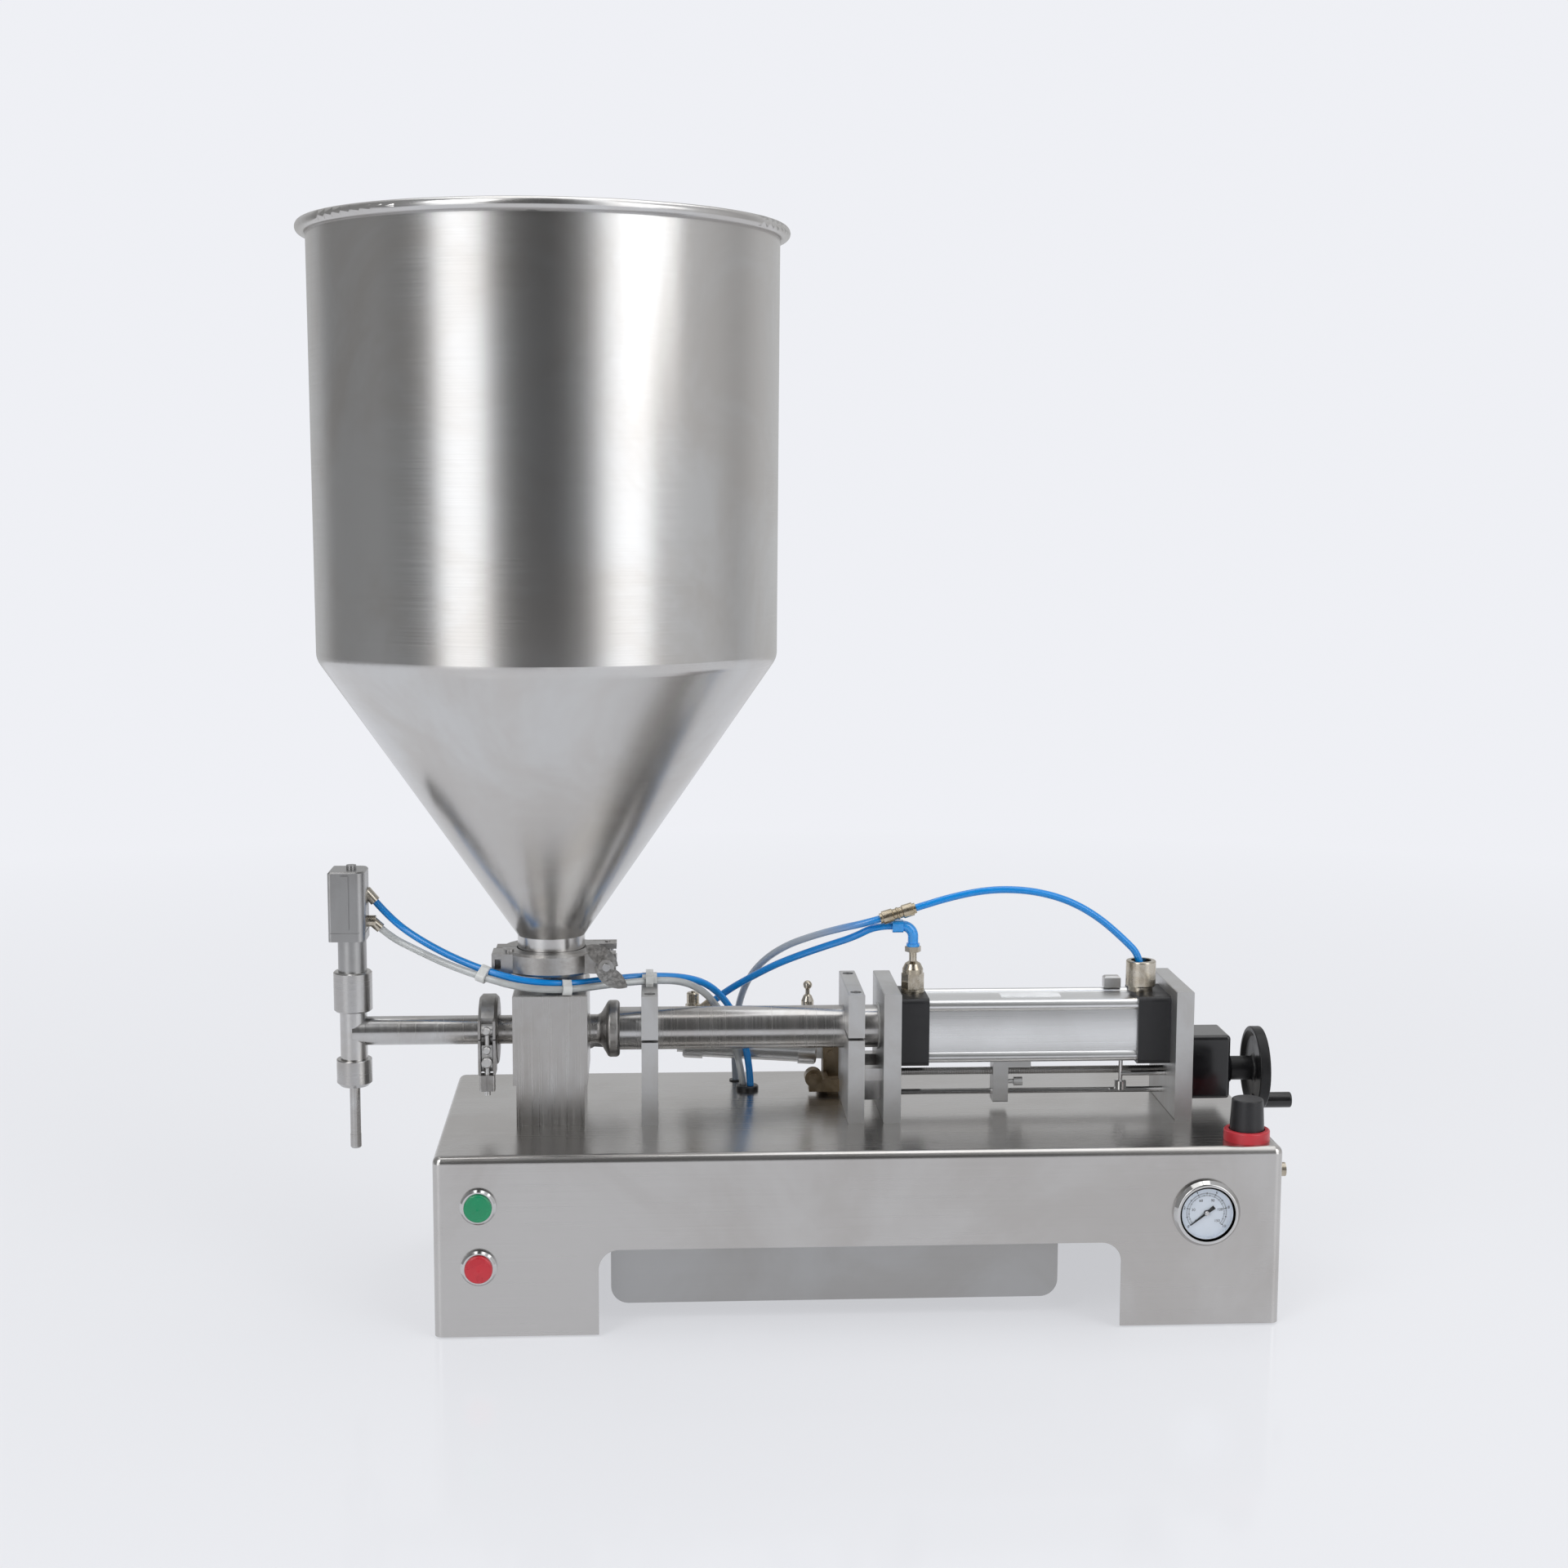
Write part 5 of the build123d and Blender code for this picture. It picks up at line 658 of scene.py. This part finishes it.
# %% Build the dial strokes tree
def stroke_tree():
    tree = bpy.data.node_groups.new("Dial Strokes", "GeometryNodeTree")
    add_inputs(tree, (("Count", "Int", 51), ("Radius", "Float", 0.017), ("Stroke", "Float", 0.0015),
                      ("Width", "Float", 0.0003), ("Start", "Float", -0.66), ("Sweep", "Float", 4.47),
                      ("Material", "Material", None)))
    add_outputs(tree, (("Geometry", "Geometry"),))
    entry, leave = node(tree, "NodeGroupInput"), node(tree, "NodeGroupOutput")
    arc = node(tree, "GeometryNodeCurveArc", mode="RADIUS")
    spots = node(tree, "GeometryNodeCurveToPoints", mode="COUNT")
    stroke = node(tree, "GeometryNodeMeshGrid", Vertices_X=2, Vertices_Y=2)
    turned = node(tree, "FunctionNodeAlignRotationToVector", axis="Y")
    copies = node(tree, "GeometryNodeInstanceOnPoints")
    realize, paint = node(tree, "GeometryNodeRealizeInstances"), node(tree, "GeometryNodeSetMaterial")
    for source, target in (("Count", arc.inputs["Resolution"]), ("Radius", arc.inputs["Radius"]),
                           ("Start", arc.inputs["Start Angle"]), ("Sweep", arc.inputs["Sweep Angle"]),
                           ("Count", spots.inputs["Count"]), ("Stroke", stroke.inputs["Size X"]),
                           ("Width", stroke.inputs["Size Y"]), ("Material", paint.inputs["Material"])):
        join(tree, entry.outputs[source], target)
    join(tree, arc.outputs["Curve"], spots.inputs["Curve"])
    join(tree, spots.outputs["Points"], copies.inputs["Points"])
    join(tree, stroke.outputs["Mesh"], copies.inputs["Instance"])
    join(tree, spots.outputs["Tangent"], turned.inputs["Vector"])
    join(tree, turned.outputs["Rotation"], copies.inputs["Rotation"])
    join(tree, copies.outputs["Instances"], realize.inputs["Geometry"])
    join(tree, realize.outputs["Geometry"], paint.inputs["Geometry"])
    join(tree, paint.outputs["Geometry"], leave.inputs["Geometry"])
    return tree


strokes = stroke_tree()
print("tree", strokes.name)

# %% [markdown]
# ## Round pieces of the dial
# The enamel, the white sleeve between it and the glass, and the cap over the needle's hub are all round. A
# spun profile can leave a seam, so one short function turns a row of corners into a closed solid.

# %% Helper to turn a profile
ENAMEL_DEPTH = 0.0042                              # from the glass to the enamel
INK_LIFT = 0.0003                                  # the print stands this far ahead of the enamel's back
dial_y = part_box("gauge_glass")[1][1] + ENAMEL_DEPTH
facing = Matrix.Translation((middle("gauge_case", 0), dial_y, middle("gauge_case", 2))) @ TO_FRONT


def lathed(name, profile, finish, body, steps=96):
    """A solid turned about the dial's axis from (radius, height) corners; a radius of zero closes it."""
    shape = bmesh.new()
    rows = []
    for radius, height in profile:
        turns = [0.0] if radius == 0 else [2 * pi * k / steps for k in range(steps)]
        rows.append([shape.verts.new((radius * cos(a), radius * sin(a), height)) for a in turns])
    pairs = list(zip(rows, rows[1:]))
    if profile[0][0]:
        pairs.append((rows[-1], rows[0]))
    for lower, upper in pairs:
        for k in range(steps):
            around = ((lower, k), (lower, k + 1), (upper, k + 1), (upper, k))
            corners = [row[at % len(row)] for row, at in around]
            shape.faces.new(list(dict.fromkeys(corners)))
    bmesh.ops.recalc_face_normals(shape, faces=shape.faces)
    return placed(finished(shape, name, finish), name, facing, body)


print("dial faces the front at y", round(dial_y, 4))

# %% [markdown]
# ## Lay out the dial
# The sleeve hides the case's dark bore, as on the real gauge. Both scales sweep 256 degrees: the outer one
# in tenths of ten, the inner one in steps of two up to 150, with longer strokes at the round values.

# %% Make the enamel, the sleeve, the cap and the strokes
DIAL_R, HUB_HOLE, ENAMEL_T = 0.0203, 0.0011, 0.00012
SLEEVE_T, SLEEVE_FROM, SLEEVE_TO = 0.0004, 0.0001, 0.0038
SCALE_START, SCALE_SWEEP = -38, 256                # degrees
lathed("dial_face", [(HUB_HOLE, 0.0), (HUB_HOLE, ENAMEL_T), (DIAL_R, ENAMEL_T), (DIAL_R, 0.0)],
       "dial_white", "frame")
lathed("dial_sleeve", [(DIAL_R - SLEEVE_T, SLEEVE_FROM), (DIAL_R - SLEEVE_T, SLEEVE_TO), (DIAL_R, SLEEVE_TO),
                       (DIAL_R, SLEEVE_FROM)], "dial_white", "frame")
lathed("needle_cap", [(0, 0.0016), (0.0019, 0.0016), (0.0019, 0.0024), (0.0015, 0.0028), (0, 0.0029)],
       "chrome", "gauge_needle", steps=32)
scales = (("outer", 101, 0.0157, 0.0010, 0.00024), ("outer_long", 11, 0.0157, 0.0016, 0.0005),
          ("inner", 76, 0.0140, 0.0010, 0.00024), ("inner_long", 16, 0.0140, 0.0014, 0.0004))
for label, count, radius, stroke, width in scales:
    mesh = grown(strokes, "dial_strokes_" + label,
                 {"Count": count, "Radius": radius, "Stroke": stroke, "Width": width,
                  "Start": radians(SCALE_START), "Sweep": radians(SCALE_SWEEP),
                  "Material": finishes["dial_ink"]})
    mesh.transform(Matrix.Translation((0, 0, INK_LIFT)))
    placed(mesh, "dial_strokes_" + label, facing, "frame")
print("strokes", sum(row[1] for row in scales))

# %% [markdown]
# ## Numbers on the dial
# Plain numbers stand round the rim, from 0 to 10, and inside the strokes, from 0 to 150. Each is a text
# object, the simplest way to get well-shaped digits, turned into a mesh before it is moved to its place.

# %% Write the numbers
DIGIT_SIZE, RIM_AWAY, INNER_AWAY = 0.0030, 0.0180, 0.0108


def number(text, at, name):
    letters = bpy.data.curves.new(name, "FONT")
    letters.body, letters.size, letters.align_x, letters.align_y = text, DIGIT_SIZE, "CENTER", "CENTER"
    letters.fill_mode = "FRONT"
    holder = bpy.data.objects.new(name, letters)
    bpy.context.scene.collection.objects.link(holder)
    bpy.context.view_layer.update()
    mesh = bpy.data.meshes.new_from_object(holder.evaluated_get(bpy.context.evaluated_depsgraph_get()))
    bpy.data.objects.remove(holder)
    mesh.materials.clear()
    mesh.materials.append(finishes["dial_ink"])
    mesh.transform(Matrix.Translation((*at, INK_LIFT)))
    return placed(mesh, name, facing, "frame")


for ring, last, away in (("rim", 10, RIM_AWAY), ("inner", 150, INNER_AWAY)):
    for k in range(6):
        a = radians(SCALE_START + SCALE_SWEEP * (5 - k) / 5)
        number(str(last * k // 5), (away * cos(a), away * sin(a)), f"dial_{ring}_{k}")
print("numbers", 2 * 6)

# %% [markdown]
# ## Label strip on the barrel
# The barrel carries a small paper label on its top face, left bare here. Paint on the barrel's material
# would have no edge, so it is a thin plate of its own with softened edges.

# %% Lay the label
BARREL_TOP = 0.2391
LABEL_FROM, LABEL_TO, LABEL_FRONT, LABEL_BACK = 0.062, 0.112, -0.0085, 0.0060
LABEL_LIFT, LABEL_T = 0.0003, 0.0010


def plate(name, low, high, finish, body, soft):
    """A plate with softened edges between two corners."""
    shape = bmesh.new()
    bmesh.ops.create_cube(shape, size=1.0)
    for vert in shape.verts:
        vert.co = [a + (b - a) * (c + 0.5) for a, b, c in zip(low, high, vert.co)]
    bmesh.ops.bevel(shape, geom=shape.edges[:], offset=soft, segments=2, affect="EDGES")
    return placed(finished(shape, name, finish), name, Matrix(), body)


barrel_x, label_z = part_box("cylinder_barrel")[0][0], BARREL_TOP + LABEL_LIFT
plate("barrel_label", (barrel_x + LABEL_FROM, LABEL_FRONT, label_z),
      (barrel_x + LABEL_TO, LABEL_BACK, label_z + LABEL_T), "paper", "frame", soft=0.0002)
print("label from x", round(barrel_x + LABEL_FROM, 4))

# %% [markdown]
# ## Hose clip
# Where the pair of nozzle hoses crosses the top of the first support, a pale clip holds them together. It is
# one rounded plate that the hoses run through, the same way as the label but with far softer edges.

# %% Lay the hose clip
CLIP_LOW, CLIP_HIGH = (-0.1383, -0.0122, 0.2512), (-0.1263, 0.0072, 0.2632)
plate("hose_clip", CLIP_LOW, CLIP_HIGH, "tie", "frame", soft=0.003)
print("clip length", round(CLIP_HIGH[0] - CLIP_LOW[0], 4))

# %% [markdown]
# ## Studio
# The photograph has a white sweep and soft light from tall boxes to the left and right, which the hopper
# shows as two bright upright bands with a darker strip between them. Lamps alone give small, hard shapes in
# steel. The world gives those bands to reflections instead, by bearing, and shows the camera an even pale
# background.

# %% Light the world by bearing
BACKDROP = (0.862, 0.872, 0.912)
BAND_END, BAND_TINT = (0.85, 0.855, 0.86, 1), (0.985, 0.99, 1.0)
# bearing in degrees, zero straight in front and positive to the right, and the brightness there
bands = [(-140, 0.8), (-124, 0.42), (-84, 0.46), (-66, 0.30), (-54, 0.5), (-47, 2.7), (-29, 2.6),
         (-23, 0.55), (-14, 0.16), (8, 0.10), (22, 0.40), (32, 2.0), (36, 2.7), (50, 2.6), (57, 0.95),
         (88, 0.95), (108, 0.72), (130, 1.0)]
world = bpy.data.worlds.new("studio")
bpy.context.scene.world = world
world.use_nodes = True
tree = world.node_tree
tree.nodes.clear()
way = node(tree, "ShaderNodeTexCoord")
apart = node(tree, "ShaderNodeSeparateXYZ")
behind = node(tree, "ShaderNodeMath", operation="MULTIPLY")
behind.inputs[1].default_value = -1.0
bearing = node(tree, "ShaderNodeMath", operation="ARCTAN2")
ramp = node(tree, "ShaderNodeValToRGB")
join(tree, way.outputs["Generated"], apart.inputs["Vector"])
join(tree, apart.outputs["Y"], behind.inputs[0])
join(tree, apart.outputs["X"], bearing.inputs[0])
join(tree, behind.outputs["Value"], bearing.inputs[1])
join(tree, spread(tree, bearing.outputs["Value"], 0.0, 1.0, start=-pi, end=pi), ramp.inputs["Fac"])
stops = ramp.color_ramp.elements
stops[0].position, stops[1].position = 0.0, 1.0
stops[0].color = stops[1].color = BAND_END
for angle, value in bands:
    stops.new((angle + 180) / 360).color = (*[value * tint for tint in BAND_TINT], 1)
print("bands", len(bands))

# %% [markdown]
# ## What the camera sees
# A Light Path node tells camera rays from the rest, so the camera sees the backdrop's even colour while the
# steel mirrors the bands.

# %% Join backdrop and bands
backdrop = node(tree, "ShaderNodeBackground", Color=(*BACKDROP, 1), Strength=1.0)
glow = node(tree, "ShaderNodeBackground", Strength=0.7)
rays = node(tree, "ShaderNodeLightPath")
pick, out = node(tree, "ShaderNodeMixShader"), node(tree, "ShaderNodeOutputWorld")
join(tree, ramp.outputs["Color"], glow.inputs["Color"])
join(tree, rays.outputs["Is Camera Ray"], pick.inputs[0])
join(tree, glow.outputs["Background"], pick.inputs[1])
join(tree, backdrop.outputs["Background"], pick.inputs[2])
join(tree, pick.outputs["Shader"], out.inputs["Surface"])
print("world", world.name)

# %% [markdown]
# ## Soft boxes
# The world's bands cast no clear direction, so three large, weak area lights give the machine its soft
# shading: one high on the left, one on the right, one overhead.

# %% Hang the soft boxes
def softbox(name, at, aim, size, power):
    light = bpy.data.lights.new(name, "AREA")
    light.shape, light.energy = "RECTANGLE", power
    light.size, light.size_y = size
    holder = bpy.data.objects.new(name, light)
    bpy.context.scene.collection.objects.link(holder)
    holder.location = at
    holder.rotation_euler = (Vector(aim) - Vector(at)).to_track_quat("-Z", "Y").to_euler()


softbox("key", (-1.6, -1.8, 2.2), (0, 0, 0.35), (1.2, 1.2), 14)
softbox("fill", (1.9, -1.5, 1.6), (0, 0, 0.3), (1.2, 1.6), 8)
softbox("over", (0, 0.3, 2.6), (0, 0, 0), (2.2, 1.6), 14)
print("soft boxes", len(bpy.data.lights))

# %% [markdown]
# ## Floor
# The machine stands on a glossy white sweep. A plain white floor would meet the backdrop in a line, so its
# shader blends into the backdrop's own colour, more the further away it is. Near the machine it keeps a soft
# shadow, and it lights the machine from below.

# %% Mix the floor's material
BLEND_NEAR, BLEND_FAR = (0.7, 0.62), (2.6, 1.0)    # distance in metres, share of the backdrop's colour


def floor_material():
    """A glossy white floor; camera and mirror rays see mostly the backdrop's own colour on it."""
    material, tree, shader, place = start_material("studio_floor", Roughness=0.10)
    drift = node(tree, "ShaderNodeTexNoise", Scale=1.2)
    mix = node(tree, "ShaderNodeMix", data_type="RGBA")
    mix.inputs[6].default_value, mix.inputs[7].default_value = (0.86, 0.87, 0.90, 1), (0.88, 0.89, 0.915, 1)
    sweep = node(tree, "ShaderNodeEmission", Color=(*BACKDROP, 1), Strength=1.0)
    rays, either = node(tree, "ShaderNodeLightPath"), node(tree, "ShaderNodeMath", operation="MAXIMUM")
    share = node(tree, "ShaderNodeMath", operation="MULTIPLY")
    away = node(tree, "ShaderNodeVectorMath", operation="LENGTH")
    blend = node(tree, "ShaderNodeMixShader")
    join(tree, place, away.inputs["Vector"])
    (start, low), (end, high) = BLEND_NEAR, BLEND_FAR
    join(tree, spread(tree, away.outputs["Value"], low, high, start=start, end=end), share.inputs[1])
    join(tree, place, drift.inputs["Vector"])
    join(tree, drift.outputs["Fac"], mix.inputs["Factor"])
    join(tree, mix.outputs[2], shader.inputs["Base Color"])
    join(tree, rays.outputs["Is Camera Ray"], either.inputs[0])
    join(tree, rays.outputs["Is Glossy Ray"], either.inputs[1])
    join(tree, either.outputs["Value"], share.inputs[0])
    join(tree, share.outputs["Value"], blend.inputs[0])
    join(tree, shader.outputs["BSDF"], blend.inputs[1])
    join(tree, sweep.outputs["Emission"], blend.inputs[2])
    join(tree, blend.outputs["Shader"], tree.nodes["Material Output"].inputs["Surface"])
    return material


finishes["floor"] = floor_material()
print("floor blends from", BLEND_NEAR, "to", BLEND_FAR)

# %% [markdown]
# ## Lay the floor
# A disc is enough: its edge lies where it has already taken the backdrop's colour. It is a stage, not part
# of the machine.

# %% Add the floor's disc
FLOOR_R, FLOOR_GAP = 2.7, 0.0002
shape = bmesh.new()
bmesh.ops.create_circle(shape, cap_ends=True, segments=64, radius=FLOOR_R)
floor_mesh = finished(shape, "floor", "floor")
floor_mesh.transform(Matrix.Translation((0, 0, cad_box[0][2] - FLOOR_GAP)))
floor = bpy.data.objects.new("floor", floor_mesh)
bpy.context.scene.collection.objects.link(floor)
print("floor radius", FLOOR_R)
